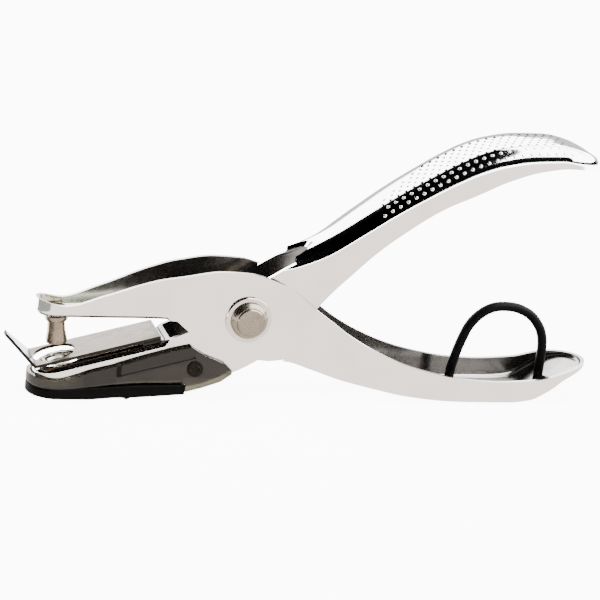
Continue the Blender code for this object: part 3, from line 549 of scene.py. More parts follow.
class Line:
    """A smooth curve z(x) through points, which never overshoots them."""

    def __init__(self, points: list[Pair]) -> None:
        """Work out the slopes.

        Args:
            points: the points, in any order.
        """
        self.points = sorted(points)
        xs = [x for x, _ in self.points]
        slopes = [(b[1] - a[1]) / (b[0] - a[0]) for a, b in zip(self.points, self.points[1:])]
        self.tangents = [slopes[0]] + [0.0] * (len(xs) - 2) + [slopes[-1]]
        for index in range(1, len(xs) - 1):
            before, after = slopes[index - 1], slopes[index]
            if before * after > 0:
                left, right = xs[index] - xs[index - 1], xs[index + 1] - xs[index]
                first, second = 2 * right + left, right + 2 * left
                self.tangents[index] = (first + second) / (first / before + second / after)

    def __call__(self, x: float) -> float:
        """The curve's value.

        Args:
            x: the place along it, held to its ends.

        Returns:
            The value there.
        """
        x = min(max(x, self.points[0][0]), self.points[-1][0])
        index = 0
        while index < len(self.points) - 2 and x > self.points[index + 1][0]:
            index += 1
        (x0, z0), (x1, z1) = self.points[index], self.points[index + 1]
        run = x1 - x0
        t = (x - x0) / run
        low = (2 * t**3 - 3 * t**2 + 1) * z0 + (t**3 - 2 * t**2 + t) * run * self.tangents[index]
        high = (3 * t**2 - 2 * t**3) * z1 + (t**3 - t**2) * run * self.tangents[index + 1]
        return low + high


def millimetres(*pairs: Pair) -> list[Pair]:
    """Points given in millimetres, in metres.

    Args:
        pairs: the points.

    Returns:
        The same points in metres.
    """
    return [(x * 0.001, z * 0.001) for x, z in pairs]


PIVOT_HEIGHT = 0.0223
PIVOT = Vector((-0.018269885, 0, PIVOT_HEIGHT))
SHEET = 0.001
CUT_REACH = 0.0122
BORE_REACH = 0.012
DRILL_REACH = 0.005
RIVET_BORE = 0.0031
TRAY_BORE = 0.0012
SLOPE = math.radians(15.1)
PIN_PLACE = Vector((-0.0474, 0, -0.0092))
PIN_TILT = math.radians(4.5)
DIE_TILT = 0.172582
STRIP_HOLE = Vector((-0.046692, 0, -0.013709))
TRAY_PIN = (-0.0126, -0.0136)


def placed(title: str, data: bpy.types.ID) -> bpy.types.Object:
    """A new object in the scene.

    Args:
        title: its name.
        data: its mesh, lamp or camera.

    Returns:
        The object.
    """
    made = bpy.data.objects.new(title, data)
    bpy.context.scene.collection.objects.link(made)
    return made


class Workshop:
    """Turns outlines into finished meshes that ride on a body."""

    def __init__(self, finishes: Finishes) -> None:
        """Start with the finishes.

        Args:
            finishes: the finishes to dress pieces with.
        """
        self.finishes = finishes
        self.scrap: list[bpy.types.Object] = []

    def raw(self, title: str, vertices: list, faces: list, edges: list | None = None) -> bpy.types.Object:
        """A plain mesh object at the pivot.

        Args:
            title: its name.
            vertices: its places, from the pivot.
            faces: vertex numbers of each face.
            edges: loose edges, for a profile.

        Returns:
            The object.
        """
        data = bpy.data.meshes.new(title)
        data.from_pydata(vertices, edges or [], faces)
        made = placed(title, data)
        made.location = PIVOT
        return made

    def prism(self, title: str, outline: list[Pair], low: float, high: float, plane: str = "XZ") -> bpy.types.Object:
        """A solid with a flat outline.

        Args:
            title: its name.
            outline: the corners, in order.
            low: where it starts across the outline's plane.
            high: where it ends.
            plane: XZ for an upright outline, XY for a lying one.

        Returns:
            The object.
        """
        count = len(outline)
        if plane == "XZ":
            places = [(x, low, z) for x, z in outline] + [(x, high, z) for x, z in outline]
        else:
            places = [(x, y, low) for x, y in outline] + [(x, y, high) for x, y in outline]
        faces = [tuple(range(count)), tuple(range(2 * count - 1, count - 1, -1))]
        faces += [(i, i + count, (i + 1) % count + count, (i + 1) % count) for i in range(count)]
        made = self.raw(title, places, faces)
        self.face_out(made)
        return made

    def face_out(self, piece: bpy.types.Object) -> None:
        """Weld a mesh and turn its faces outward.

        Args:
            piece: the object.
        """
        solid = bmesh.new()
        solid.from_mesh(piece.data)
        bmesh.ops.remove_doubles(solid, verts=solid.verts, dist=WELD)
        bmesh.ops.recalc_face_normals(solid, faces=solid.faces)
        solid.to_mesh(piece.data)
        solid.free()

    def turned(
        self, title: str, profile: list[Pair], place: tuple, turn: Matrix | None = None, steps: int = 96
    ) -> bpy.types.Object:
        """A turned solid.

        Args:
            title: its name.
            profile: (radius, height) from the top, down its outer side and up its bore.
            place: where its foot stands, from the pivot.
            turn: its turn from upright.
            steps: facets round it.

        Returns:
            The object.
        """
        matrix = Matrix.Translation(Vector(place)) @ (turn or Matrix())
        places, rings = [], []
        for radius, height in profile:
            count = 1 if radius == 0 else steps
            rings.append(list(range(len(places), len(places) + count)))
            for step in range(count):
                angle = 2 * math.pi * step / count
                places.append(matrix @ Vector((radius * math.cos(angle), radius * math.sin(angle), height)))
        if profile[0][0] > 0:
            rings.append(rings[0])
        faces = []
        for upper, lower in zip(rings, rings[1:]):
            for step in range(steps):
                after = (step + 1) % steps
                corners = [upper[step % len(upper)], upper[after % len(upper)], lower[after % len(lower)],
                           lower[step % len(lower)]]
                faces.append(tuple(dict.fromkeys(corners)))
        made = self.raw(title, places, faces)
        self.face_out(made)
        return made

    def rod(self, title: str, radius: float, low: float, high: float, place: Pair, axis: str = "Y",
            tilt: float = 0.0, steps: int = 64) -> bpy.types.Object:
        """A round rod.

        Args:
            title: its name.
            radius: its radius.
            low: where it starts along its axis.
            high: where it ends.
            place: x and z of the axis.
            axis: Y across the punch, or Z for a tilted upright rod.
            tilt: the upright rod's lean.
            steps: facets round it.

        Returns:
            The object.
        """
        turn = Matrix.Rotation(math.pi / 2, 4, "X") if axis == "Y" else Matrix.Rotation(-tilt, 4, "Y")
        ends = (-low, -high) if axis == "Y" else (high, low)
        profile = [(0, max(ends)), (radius, max(ends)), (radius, min(ends)), (0, min(ends))]
        return self.turned(title, profile, (place[0], 0, place[1]), turn, steps)

    def tube(self, title: str, path: list[Vector], radius: float, steps: int = 16) -> bpy.types.Object:
        """A round wire along a path, with rounded ends.

        Args:
            title: its name.
            path: the centre line.
            radius: the wire's radius.
            steps: facets round it.

        Returns:
            The object.
        """
        first = (path[1] - path[0]).normalized()
        side = first.orthogonal().normalized()
        rings = []
        for index, point in enumerate(path):
            along = (path[min(index + 1, len(path) - 1)] - path[max(index - 1, 0)]).normalized()
            side = (side - along * side.dot(along)).normalized()
            rings.append((point, along, side, radius))
        caps = [(share, math.sqrt(1 - share * share)) for share in (0.35, 0.7, 0.92)]
        start, end = rings[0], rings[-1]
        head = [(start[0] - start[1] * radius * 0.5 * s, start[1], start[2], radius * r) for s, r in reversed(caps)]
        tail = [(end[0] + end[1] * radius * 0.5 * s, end[1], end[2], radius * r) for s, r in caps]
        places = []
        for point, along, across, size in head + rings + tail:
            other = along.cross(across)
            for step in range(steps):
                angle = 2 * math.pi * step / steps
                places.append(point + (across * math.cos(angle) + other * math.sin(angle)) * size)
        count = len(head) + len(rings) + len(tail)
        faces = [
            (row * steps + step, row * steps + (step + 1) % steps, (row + 1) * steps + (step + 1) % steps,
             (row + 1) * steps + step)
            for row in range(count - 1) for step in range(steps)
        ]
        faces += [tuple(range(steps)), tuple(range(count * steps - 1, (count - 1) * steps - 1, -1))]
        made = self.raw(title, places, faces)
        self.face_out(made)
        return made

    def cut(self, piece: bpy.types.Object, cutter: bpy.types.Object, operation: str = "DIFFERENCE") -> None:
        """Boolean one object with another, which is scrapped afterwards.

        Args:
            piece: the piece that is kept.
            cutter: the other object.
            operation: the Boolean's operation.
        """
        modifier = piece.modifiers.new("cut", "BOOLEAN")
        modifier.operation = operation
        modifier.solver = "EXACT"
        modifier.object = cutter
        cutter.hide_render = True
        self.scrap.append(cutter)

    def drill(
        self, piece: bpy.types.Object, title: str, radius: float, place: Pair, tilt: float | None = None,
        steps: int = 64,
    ) -> None:
        """Cut a round hole through a piece.

        Args:
            piece: the piece that is kept.
            title: the hole's name.
            radius: its radius.
            place: x and z of its axis.
            tilt: an upright hole's lean, or nothing for a hole across the punch.
            steps: facets round it.
        """
        axis, reach = ("Y", BORE_REACH) if tilt is None else ("Z", DRILL_REACH)
        self.cut(piece, self.rod(title, radius, -reach, reach, place, axis, tilt or 0.0, steps))

    def soften(self, piece: bpy.types.Object, width: float, segments: int = 2, angle: float = 40.0) -> None:
        """Round the sharp edges of a piece.

        Args:
            piece: the object.
            width: the rounding's size.
            segments: facets across the rounding.
            angle: edges sharper than this, in degrees, are rounded.
        """
        modifier = piece.modifiers.new("soft_edges", "BEVEL")
        modifier.width = width
        modifier.segments = segments
        modifier.limit_method = "ANGLE"
        modifier.angle_limit = math.radians(angle)
        modifier.use_clamp_overlap = True

    def finish(
        self, piece: bpy.types.Object, name: str, body: Body | None, replaced: tuple = (), sharp: float = 35.0,
        lining: str | None = None,
    ) -> bpy.types.Object:
        """Bake the modifiers, shade, dress and mount a piece.

        Args:
            piece: the object.
            name: the finish's name.
            body: the body it rides on, or nothing to leave it on no body.
            replaced: the frame's nodes that it stands for.
            sharp: edges sharper than this, in degrees, stay sharp.
            lining: the finish of its lining faces, if it has any.

        Returns:
            The finished object.
        """
        bpy.context.view_layer.update()
        shown = piece.evaluated_get(bpy.context.evaluated_depsgraph_get())
        data = bpy.data.meshes.new_from_object(shown)
        piece.modifiers.clear()
        piece.data = data
        for cutter in self.scrap:
            bpy.data.objects.remove(cutter, do_unlink=True)
        self.scrap.clear()
        data.shade_smooth()
        data.set_sharp_from_angle(angle=math.radians(sharp))
        weigh = piece.modifiers.new("even_normals", "WEIGHTED_NORMAL")
        weigh.keep_sharp = True
        weigh.weight = 60
        self.finishes.apply(piece, name, lining)
        if replaced:
            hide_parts(*replaced)
        if body is not None:
            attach(piece, body.value)
        LOG.info("%s: %d faces", piece.name, len(data.polygons))
        return piece

    def reface(
        self, piece: bpy.types.Object, name: str, chosen: Callable[[bpy.types.MeshPolygon], bool]
    ) -> None:
        """Give some faces of a finished piece a second finish.

        Args:
            piece: the object.
            name: the second finish's name.
            chosen: tells whether a face gets it.
        """
        piece.data.materials.append(self.finishes.get(name))
        for polygon in piece.data.polygons:
            polygon.material_index = int(chosen(polygon))


def smooth(value: float, start: float, end: float) -> float:
    """An eased step from 0 to 1.

    Args:
        value: where it is read.
        start: where it leaves 0.
        end: where it reaches 1.

    Returns:
        The share.
    """
    share = min(max((value - start) / (end - start), 0.0), 1.0)
    return share * share * (3 - 2 * share)


@dataclass
class Channel:
    """An open pressed channel: two walls and a web, with rounded corners and a closed nose."""

    front: float
    back: float
    front_round: float
    back_round: float
    half: Callable[[float], float]
    edge: Callable[[float], float]
    web: Callable[[float], float]
    corner: Callable[[float], float]
    thick: float = SHEET
    steps: int = 150
    arcs: int = 10

    def stations(self) -> list[float]:
        """Choose the places along X, close together at the rounded ends.

        Returns:
            The places.
        """
        count = 16
        eased = [1 - math.cos(math.pi / 2 * index / count) for index in range(count + 1)]
        start, end = self.front + self.front_round, self.back - self.back_round
        places = [self.front + self.front_round * share for share in eased]
        places += [start + (end - start) * index / self.steps for index in range(1, self.steps + 1)]
        if self.back_round:
            places += [self.back - self.back_round * share for share in eased[-2::-1]]
        return places

    def width(self, x: float) -> float:
        """The half width, rounded off at the ends.

        Args:
            x: the place along the channel.

        Returns:
            The half width there.
        """
        nose = min((x - self.front) / self.front_round, 1)
        tail = min((self.back - x) / self.back_round, 1) if self.back_round else 1
        return self.half(x) * math.sqrt(max(0, 1 - (1 - nose) ** 2)) * math.sqrt(max(0, 1 - (1 - tail) ** 2))

    def out(self, x: float) -> Vector:
        """The wall's outward direction in plan, on the near side.

        Args:
            x: the place along the channel.

        Returns:
            A unit vector.
        """
        reach = 0.00002
        before, after = max(x - reach, self.front), min(x + reach, self.back)
        along = Vector((after - before, self.width(before) - self.width(after))).normalized()
        return Vector((along.y, -along.x))

    def row(self, x: float) -> list[tuple]:
        """The half section at one place, from the wall's free edge to the middle of the web.

        Args:
            x: the place along the channel.

        Returns:
            Its points.
        """
        level, foot = self.web(x), self.edge(x)
        sign = 1 if level > foot else -1
        bend = min(self.corner(x), abs(level - foot) * 0.8)
        out = self.out(x)
        point = Vector((x, -self.width(x)))
        start = level - sign * bend
        points = [(x, point.y, foot), (x, point.y, start + (foot - start) * 0.12)]
        place = point
        for step in range(self.arcs + 1):
            turn = math.pi / 2 * step / self.arcs
            place = point - out * bend * (1 - math.cos(turn))
            points.append((place.x, min(place.y, 0), self.web(place.x) - sign * bend * (1 - math.sin(turn))))
        points += [(place.x, min(place.y, 0) * share, self.web(place.x)) for share in (0.85, 0.55, 0.25, 0.0)]
        return points

    def lining(self) -> Channel:
        """Shrink the channel by the sheet's thickness.

        Returns:
            The channel that the sheet's inner face follows.
        """
        deep = self.thick

        def web(x: float) -> float:
            """The inner face's level at x, square to the sheet."""
            reach = 0.0002
            slope = (self.web(x + reach) - self.web(x - reach)) / (2 * reach)
            side = -1 if self.web(x) > self.edge(x) else 1
            return self.web(x) + side * deep * math.sqrt(1 + min(slope * slope, 1.5))

        return replace(
            self, front=self.front + deep, front_round=self.front_round - deep,
            back=self.back - (deep if self.back_round else 0), back_round=max(self.back_round - deep, 0),
            half=lambda x: self.half(x) - deep, web=web, corner=lambda x: self.corner(x) - deep,
        )

    def build(self, shop: Workshop, title: str) -> bpy.types.Object:
        """Make the sheet as a closed solid.

        Args:
            shop: the workshop.
            title: the object's name.

        Returns:
            The object, with its mirror as a modifier.
        """
        lining = self.lining()
        outer = [self.row(x) for x in self.stations()]
        inner = [lining.row(x) for x in lining.stations()]
        span, count = len(outer[0]), len(outer)
        places = [point for row in outer + inner for point in row]
        faces = []
        for row in range(count - 1):
            for step in range(span - 1):
                a = row * span + step
                b = a + count * span
                faces.append((a, a + span, a + span + 1, a + 1))
                faces.append((b, b + 1, b + span + 1, b + span))
            a = row * span
            faces.append((a, a + count * span, a + count * span + span, a + span))
        if not self.back_round:
            last = (count - 1) * span
            for step in range(span - 1):
                a = last + step
                faces.append((a, a + count * span, a + count * span + 1, a + 1))
        made = shop.raw(title, places, faces)
        lined = count * span
        for polygon in made.data.polygons:
            polygon.material_index = int(max(polygon.vertices) >= lined)
        for _ in range(2):
            made.data.materials.append(None)
        shop.face_out(made)
        mirror = made.modifiers.new("across", "MIRROR")
        mirror.use_axis = (False, True, False)
        mirror.use_clip = True
        mirror.merge_threshold = WELD
        return made


OUTER_EDGE = Line(millimetres(
    (-53.50, 2.85), (-46.54, 1.55), (-36.91, 4.59), (-23.00, 9.61), (-16.05, 11.16), (-7.49, 12.40), (0, 12.03),
    (4.87, 10.79), (11.58, 7.69), (18.00, 2.79), (22.09, 0), (27.63, -3.90), (36.00, -8.41), (43.98, -11.60),
    (51.47, -13.60), (60.33, -15.16), (70.06, -15.72), (79.98, -15.21), (90.00, -13.00), (97.30, -11.91),
))
OUTER_WEB = Line(millimetres(
    (-53.50, -1.90), (-35.31, -1.56), (-20.65, -1.07), (-19.26, -3.34), (-14.61, -7.14), (-12.30, -9.59),
    (-8.51, -11.15), (0, -14.27), (8.27, -14.38), (10.90, -12.15), (18.68, -14.27), (26.47, -16.84),
    (34.54, -18.80), (46.41, -21.18), (58.38, -22.21), (64.22, -22.30), (73.95, -22.30), (79.98, -21.68),
    (85.04, -19.18), (90.49, -15.61), (93.99, -14.38), (97.30, -13.87),
))
OUTER_HALF = Line(millimetres(
    (-53.50, 4.30), (-48.15, 4.30), (-36.91, 4.76), (-23.00, 6.18), (-17.12, 7.15), (-2.68, 7.15), (13.62, 7.15),
    (20.43, 7.48), (28.22, 7.93), (43.78, 8.70), (60.33, 9.31), (74.92, 9.50), (97.30, 9.50),
))
INNER_EDGE = Line(millimetres(
    (-53.00, -17.62), (-46.11, -16.95), (-34.98, -14.05), (-12.98, -16.23), (-7.95, -16.43), (-2.23, -14.91),
    (3.69, -11.74), (9.04, -8.02), (14.01, -2.49), (17.98, 2.49), (21.67, 7.19), (26.09, 12.18), (32.18, 18.68),
    (37.16, 23.08), (48.41, 31.30), (56.61, 35.40), (64.63, 39.41), (73.30, 42.30), (80.95, 43.37),
    (86.67, 42.84), (92.20, 42.20),
))
INNER_WEB = Line(millimetres(
    (-53.00, -15.41), (-36.76, -11.03), (-21.51, -6.91), (-20.51, -6.64), (-19.08, -3.91), (-14.84, -1.81),
    (-7.95, 4.01), (0, 10.37), (4.33, 13.45), (8.94, 15.75), (11.43, 16.53), (18.99, 20.39), (28.49, 27.29),
    (35.96, 32.81), (43.98, 38.09), (52.00, 42.89), (56.98, 45.38), (62.60, 47.29), (70.99, 48.60),
    (78.37, 48.74), (84.09, 47.66), (88.60, 46.06), (92.20, 44.16),
))
INNER_HALF = Line(millimetres(
    (-53.00, 6.00), (13.83, 6.00), (20.28, 6.25), (27.66, 7.05), (44.26, 8.38), (60.85, 9.25), (73.76, 9.50),
    (92.20, 9.50),
))
TRAY_EDGE = Line(millimetres(
    (-54.40, -16.95), (-50.05, -17.39), (-47.06, -17.28), (-42.81, -16.15), (-39.39, -14.90), (-32.64, -13.09),
    (-25.02, -10.59), (-18.01, -8.61), (-13.98, -7.69),
))
TRAY_FLOOR = Line(millimetres(
    (-54.40, -20.25), (-46.30, -20.15), (-39.30, -19.45), (-31.70, -18.45), (-26.50, -18.10), (-14.14, -17.90),
))
OUTER_WINDOW = millimetres(
    (-20.60, -27.3), (-20.60, -0.89), (-18.40, -0.89), (-14.61, -4.10), (-12.30, -6.29), (-8.51, -8.09),
    (-4.98, -9.37), (-1.02, -10.59), (6.52, -11.31), (10.70, -10.91), (10.70, -27.3),
)
INNER_WINDOW = millimetres(
    (-20.51, 48.9), (-20.51, -6.60), (-14.84, -4.11), (-7.95, 1.47), (0, 7.68), (4.33, 10.51), (8.94, 13.40),
    (11.43, 14.67), (11.43, 48.9),
)
LEDGE = millimetres((-32.70, -15.86), (-13.60, -10.83))
WING = millimetres(
    (-13.98, -7.69), (-9.79, -10.30), (-4.90, -12.11), (-2.77, -14.00), (-2.72, -15.01), (-5.49, -17.10),
    (-10.01, -18.71), (-14.58, -19.96),
)
BOW = millimetres(
    (59.4, -21.4), (59.4, -20.09), (59.55, -16.68), (60.3, -11.81), (61.96, -5.97), (63.5, -2.57),
    (66.06, 0.23), (69.26, 1.93), (72.71, 2.3), (76.42, 1.77), (79.88, 0.17), (82.44, -2.28), (84.1, -5.05),
    (84.87, -8.35), (85.0, -12.61), (85.0, -16.44), (85.0, -19.0),
)


def smoothed(points: list[Vector], steps: int) -> list[Vector]:
    """A finer path through the points.

    Args:
        points: the rough path.
        steps: how many pieces each stretch is cut into.

    Returns:
        The fine path.
    """
    path = []
    for index in range(len(points) - 1):
        p0, p1 = points[max(index - 1, 0)], points[index]
        p2, p3 = points[index + 1], points[min(index + 2, len(points) - 1)]
        for step in range(steps):
            t = step / steps
            path.append(0.5 * (
                2 * p1 + (p2 - p0) * t + (2 * p0 - 5 * p1 + 4 * p2 - p3) * t**2 + (3 * p1 - p0 - 3 * p2 + p3) * t**3
            ))
    path.append(points[-1])
    return path


@dataclass
class OuterLever:
    """Upper jaw, cheeks and lower handle."""

    shop: Workshop
    length: float = 0.0535
    handle: float = 0.0973
    pin_hole: float = 0.002
    bow_hole: float = 0.00122

    def build(self) -> None:
        """Make the shell with its window and holes."""
        corner = Line([(-0.0206, 0.0019), (0.0107, 0.0026)])
        shell = Channel(-self.length, self.handle, 0.0052, 0.013, OUTER_HALF, OUTER_EDGE, OUTER_WEB, corner)
        piece = shell.build(self.shop, "outer_lever_shell")
        self.shop.cut(piece, self.shop.prism("window", OUTER_WINDOW, -CUT_REACH, CUT_REACH))
        self.shop.drill(piece, "bore", RIVET_BORE, (0, 0))
        level = OUTER_WEB(PIN_PLACE.x)
        lean = (PIN_PLACE.z - level) * math.tan(PIN_TILT)
        self.shop.drill(piece, "pin_hole", self.pin_hole, (PIN_PLACE.x + lean, level), PIN_TILT)
        for foot in (BOW[0], BOW[-1]):
            self.shop.drill(piece, "bow_hole", self.bow_hole, foot, 0.0)
        self.shop.finish(piece, "chrome", Body.OUTER, ("outer_lever",), lining="lining")


@dataclass
class InnerLever:
    """Lower jaw, inner cheeks and upper handle, with its dimpled grip."""

    shop: Workshop
    length: float = 0.053
    handle: float = 0.0922
    dots_from: float = 0.0330
    dots_to: float = 0.0815
    dot_pitch: float = 0.0023
    row_pitch: float = 0.0019
    first_row: float = 0.0022
    low_climb: float = 0.0086
    more_climb: float = 0.0085
    climb_run: float = 0.014
    dot_radius: float = 0.00042
    dot_height: float = 0.00013
    crown_rise: Pair = (0.0125, 0.024)
    crown_fall: Pair = (0.077, 0.086)
    crown_drop: float = 0.0016
    crown_share: float = 0.92
    scallop: float = 0.0044
    scallop_place: Pair = (0.0082, 0.0134)
    painted_shade_span: Pair = (-0.0245, -0.0185)
    painted_shade_half: float = 0.0057
    painted_shade_top: float = -0.003
    die_seat: float = 0.00442
    die_place: Pair = (-0.0463266, -0.0136104)

    def shell(self) -> Channel:
        """The lever's channel, with a wider corner on the handle."""
        corner = Line([(-0.0205, 0.0018), (0.01143, 0.0032), (0.022, 0.0042), (0.055, 0.0042), (0.0922, 0.0030)])
        return Channel(-self.length, self.handle, 0.006, 0.012, INNER_HALF, INNER_EDGE, INNER_WEB, corner)

    def build(self) -> None:
        """Make the shell, its window and holes, and the dots."""
        shell = self.shell()
        piece = shell.build(self.shop, "inner_lever_shell")
        self.shop.cut(piece, self.shop.prism("window", INNER_WINDOW, -CUT_REACH, CUT_REACH))
        (x0, z0), (x1, z1) = INNER_WINDOW[5], INNER_WINDOW[7]
        slope = math.atan2(z1 - z0, x1 - x0)
        self.shop.cut(piece, self.shop.rod("scallop", self.scallop, 0, CUT_REACH, self.scallop_place, "Z", -slope))
        self.shop.drill(piece, "bore", RIVET_BORE, (0, 0))
        self.shop.drill(piece, "tray_bore", TRAY_BORE, TRAY_PIN)
        self.shop.drill(piece, "die_hole", self.die_seat, self.die_place, DIE_TILT)
        piece = self.shop.finish(piece, "chrome", Body.INNER, ("inner_lever",), lining="lining")
        # Painted shade: faces round the window's rear edge, under the strip's rear end, get the dark inside finish
        for polygon in piece.data.polygons:
            x, y, z = polygon.center
            if self.painted_shade_span[0] < x < self.painted_shade_span[1] and abs(y) < self.painted_shade_half and z < self.painted_shade_top:
                polygon.material_index = 1
        self.crown(piece, shell)
        self.dots(shell)

    def crown(self, piece: bpy.types.Object, shell: Channel) -> None:
        """Round the upper handle's web gently down to the far side, where the sheet turns softer.

        Args:
            piece: the finished shell.
            shell: the lever's channel.
        """
        for vertex in piece.data.vertices:
            x, y, z = vertex.co
            if y <= 0 or not self.crown_rise[0] < x < self.crown_fall[1]:
                continue
            half, bend = shell.width(x), shell.corner(x)
            level = z - (INNER_WEB(x) - bend)
            if level < -0.00005:
                continue
            turn = math.atan2(max(y - half + bend, 0.0), max(level, 0.0)) if y > half - bend else 0.0
            outer = half - bend + bend * math.sin(turn) if turn else y
            reach = half * self.crown_share
            share = min(max(outer - half + reach, 0.0) / reach, 1.0)
            fade = smooth(x, *self.crown_rise) * (1 - smooth(x, *self.crown_fall))
            drop = self.crown_drop * (1 - math.sqrt(1 - share * share))
            vertex.co.z += (bend * (1 - math.cos(turn)) - drop) * fade
        piece.data.update()

    def dots(self, shell: Channel) -> None:
        """Raise the grip's dots in staggered rows on the near corner and on the web.

        Args:
            shell: the lever's channel.
        """
        places, faces = [], []
        x, column = self.dots_from, 0
        while x < self.dots_to:
            slope = math.atan2(INNER_WEB(x + 0.0002) - INNER_WEB(x - 0.0002), 0.0004)
            half, bend = shell.width(x), shell.corner(x)
            flat = half - bend
            arc = bend * math.pi / 2
            climb = self.low_climb + self.more_climb * min(1.0, (x - self.dots_from) / self.climb_run)
            reach = self.first_row + (self.row_pitch if column % 2 else 0.0)
            while reach < min(climb, arc + 2 * flat + 0.2 * arc):
                level = reach - arc
                turn = max(0.0, -level, level - 2 * flat) / bend
                side = 1 if level > flat else -1
                y = min(max(level, 0.0), 2 * flat) - flat + side * bend * math.sin(turn)
                centre = Vector((x, y, INNER_WEB(x) - bend * (1 - math.cos(turn))))
                upright = math.cos(turn)
                up = Vector((-math.sin(slope) * upright, side * math.sin(turn), math.cos(slope) * upright))
                self.dome(places, faces, centre, up.normalized())
                reach += 2 * self.row_pitch
            x += self.dot_pitch / 2 * math.cos(slope)
            column += 1
        piece = self.shop.raw("grip_dots", places, faces)
        self.shop.face_out(piece)
        piece = self.shop.finish(piece, "chrome", Body.INNER, (), 80)
        # Painted shade: all dots but those low on the near corner get the dark steel finish
        self.shop.reface(piece, "dark", lambda face: (
            face.center.y > shell.corner(face.center.x) * 0.72 - shell.width(face.center.x)
        ))

    def dome(self, places: list, faces: list, centre: Vector, up: Vector) -> None:
        """Add one dot, a closed low dome that stands a little in the sheet.

        Args:
            places: the mesh's vertices so far.
            faces: its faces so far.
            centre: where the dot stands.
            up: the sheet's outward direction.
        """
        side = up.orthogonal().normalized()
        other = up.cross(side)
        count = 10
        rings = ((1.0, -0.9), (1.0, 0.0), (0.82, 0.45), (0.5, 0.82))
        start = len(places)
        for share, level in rings:
            for step in range(count):
                angle = 2 * math.pi * step / count
                flat = (side * math.cos(angle) + other * math.sin(angle)) * self.dot_radius * share
                places.append(centre + flat + up * self.dot_height * level)
        places.append(centre + up * self.dot_height)
        top = len(places) - 1
        for ring in range(len(rings) - 1):
            for step in range(count):
                a, b = start + ring * count + step, start + ring * count + (step + 1) % count
                faces.append((a, b, b + count, a + count))
        last = start + (len(rings) - 1) * count
        faces += [(last + step, last + (step + 1) % count, top) for step in range(count)]
        faces.append(tuple(range(start + count - 1, start - 1, -1)))


@dataclass
class Pivot:
    """The rivet with its cap and two washers."""

    shop: Workshop
    cheek: float = 0.00715
    gap: float = 0.0002

    def build(self) -> None:
        """Make the visible rivet parts."""
        seat = self.cheek + self.gap
        head_seat = seat + 0.0006 + self.gap
        near, far = Matrix.Rotation(math.pi / 2, 4, "X"), Matrix.Rotation(-math.pi / 2, 4, "X")
        head = [
            (0, 0.00180), (0.0031, 0.0019), (0.00335, 0.00187), (0.00362, 0.00146), (0.0038, 0.00142),
            (0.0040, 0.00132), (0.00468, 0.0005), (0.00475, 0.0004), (0.00475, 0),
        ]
        far_end = head_seat + 0.00095
        post = head + [(0.003, 0), (0.003, -head_seat - far_end), (0, -head_seat - far_end)]
        cap = head + [(0.0031, 0), (0.0031, 0.00115), (0, 0.00115)]
        ring = [
            (0.00588, 0.0006), (0.00595, 0.0005), (0.00595, 0), (0.0031, 0), (0.0031, 0.0006),
        ]
        for node, profile, across, turn, finish, sharp in (
            ("pivot_rivet", post, -head_seat, near, "nickel", 24), ("pivot_cap", cap, head_seat, far, "nickel", 24),
            ("washer_near", ring, -seat, near, "washer", 35), ("washer_far", ring, seat, far, "washer", 35),
        ):
            piece = self.shop.turned(f"{node}_fine", profile, (0, across, 0), turn)
            self.shop.finish(piece, finish, Body.OUTER, (node,), sharp)


@dataclass
class ReturnSpring:
    """The torsion coil on the pivot, with a leg out to each lever."""

    shop: Workshop
    mean: float = 0.0044
    wire: float = 0.0006
    turns: int = 4
    pitch: float = 0.00175

    def build(self) -> None:
        """Make the wire."""
        upper, lower = Vector((0.019, 0.01809)), Vector((0.022, -0.01349))

        def tangent(point: Vector, side: int) -> float:
            """The angle at which a leg to the point leaves the coil."""
            return math.atan2(point.y, point.x) + side * math.acos(self.mean / point.length)

        start, stop = tangent(upper, 1), tangent(lower, -1) + 2 * math.pi * self.turns
        width = self.pitch * (stop - start) / (2 * math.pi)
        count = 40 * self.turns
        coil = []
        for index in range(count + 1):
            share = index / count
            turn = start + (stop - start) * share
            coil.append(Vector((self.mean * math.cos(turn), width * (share - 0.5), self.mean * math.sin(turn))))
        first, last = Vector((upper.x, coil[0].y, upper.y)), Vector((lower.x, coil[-1].y, lower.y))
        legs = [[a.lerp(b, share / 8) for share in range(8)] for a, b in ((first, coil[0]), (last, coil[-1]))]
        piece = self.shop.tube("return_spring_fine", legs[0] + coil + legs[1][::-1], self.wire)
        self.shop.finish(piece, "wire", None, ("return_spring",))
        PIVOT + Vector((0, -width / 2, 0))
        PIVOT + Vector((0, width / 2, 0))
        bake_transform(piece)


@dataclass
class Punch:
    """The pin and its collar, on the outer lever's jaw."""

    shop: Workshop

    def build(self) -> None:
        """Make both pieces."""
        web_up = OUTER_WEB(PIN_PLACE.x) - PIN_PLACE.z
        collar_top = web_up - 0.0002
        shoulder = collar_top - 0.0015
        turn = Matrix.Rotation(-PIN_TILT, 4, "Y")
        pin = [
            (0, web_up + 0.0021), (0.0022, web_up + 0.0021), (0.0026, web_up + 0.0019), (0.0028, web_up + 0.0014),
            (0.0028, web_up + 0.0012), (0.0019, web_up + 0.0012), (0.0019, shoulder), (0.0022, shoulder),
            (0.0023, shoulder * 0.6), (0.0027, 0.0009), (0.0027, 0.00005), (0.00265, 0), (0, 0.0006),
        ]
        ring = [
            (0.00295, collar_top), (0.00305, collar_top - 0.0001), (0.00305, collar_top - 0.0005),
            (0.0027, collar_top - 0.0013), (0.002, collar_top - 0.0013), (0.002, collar_top),
        ]
        place = tuple(PIN_PLACE)
        self.shop.finish(self.shop.turned("punch_pin_fine", pin, place, turn, 72), "tool", Body.OUTER, ("punch_pin",))
        self.shop.finish(
            self.shop.turned("punch_collar_fine", ring, place, turn, 72), "nickel", Body.OUTER, ("punch_collar",)
        )


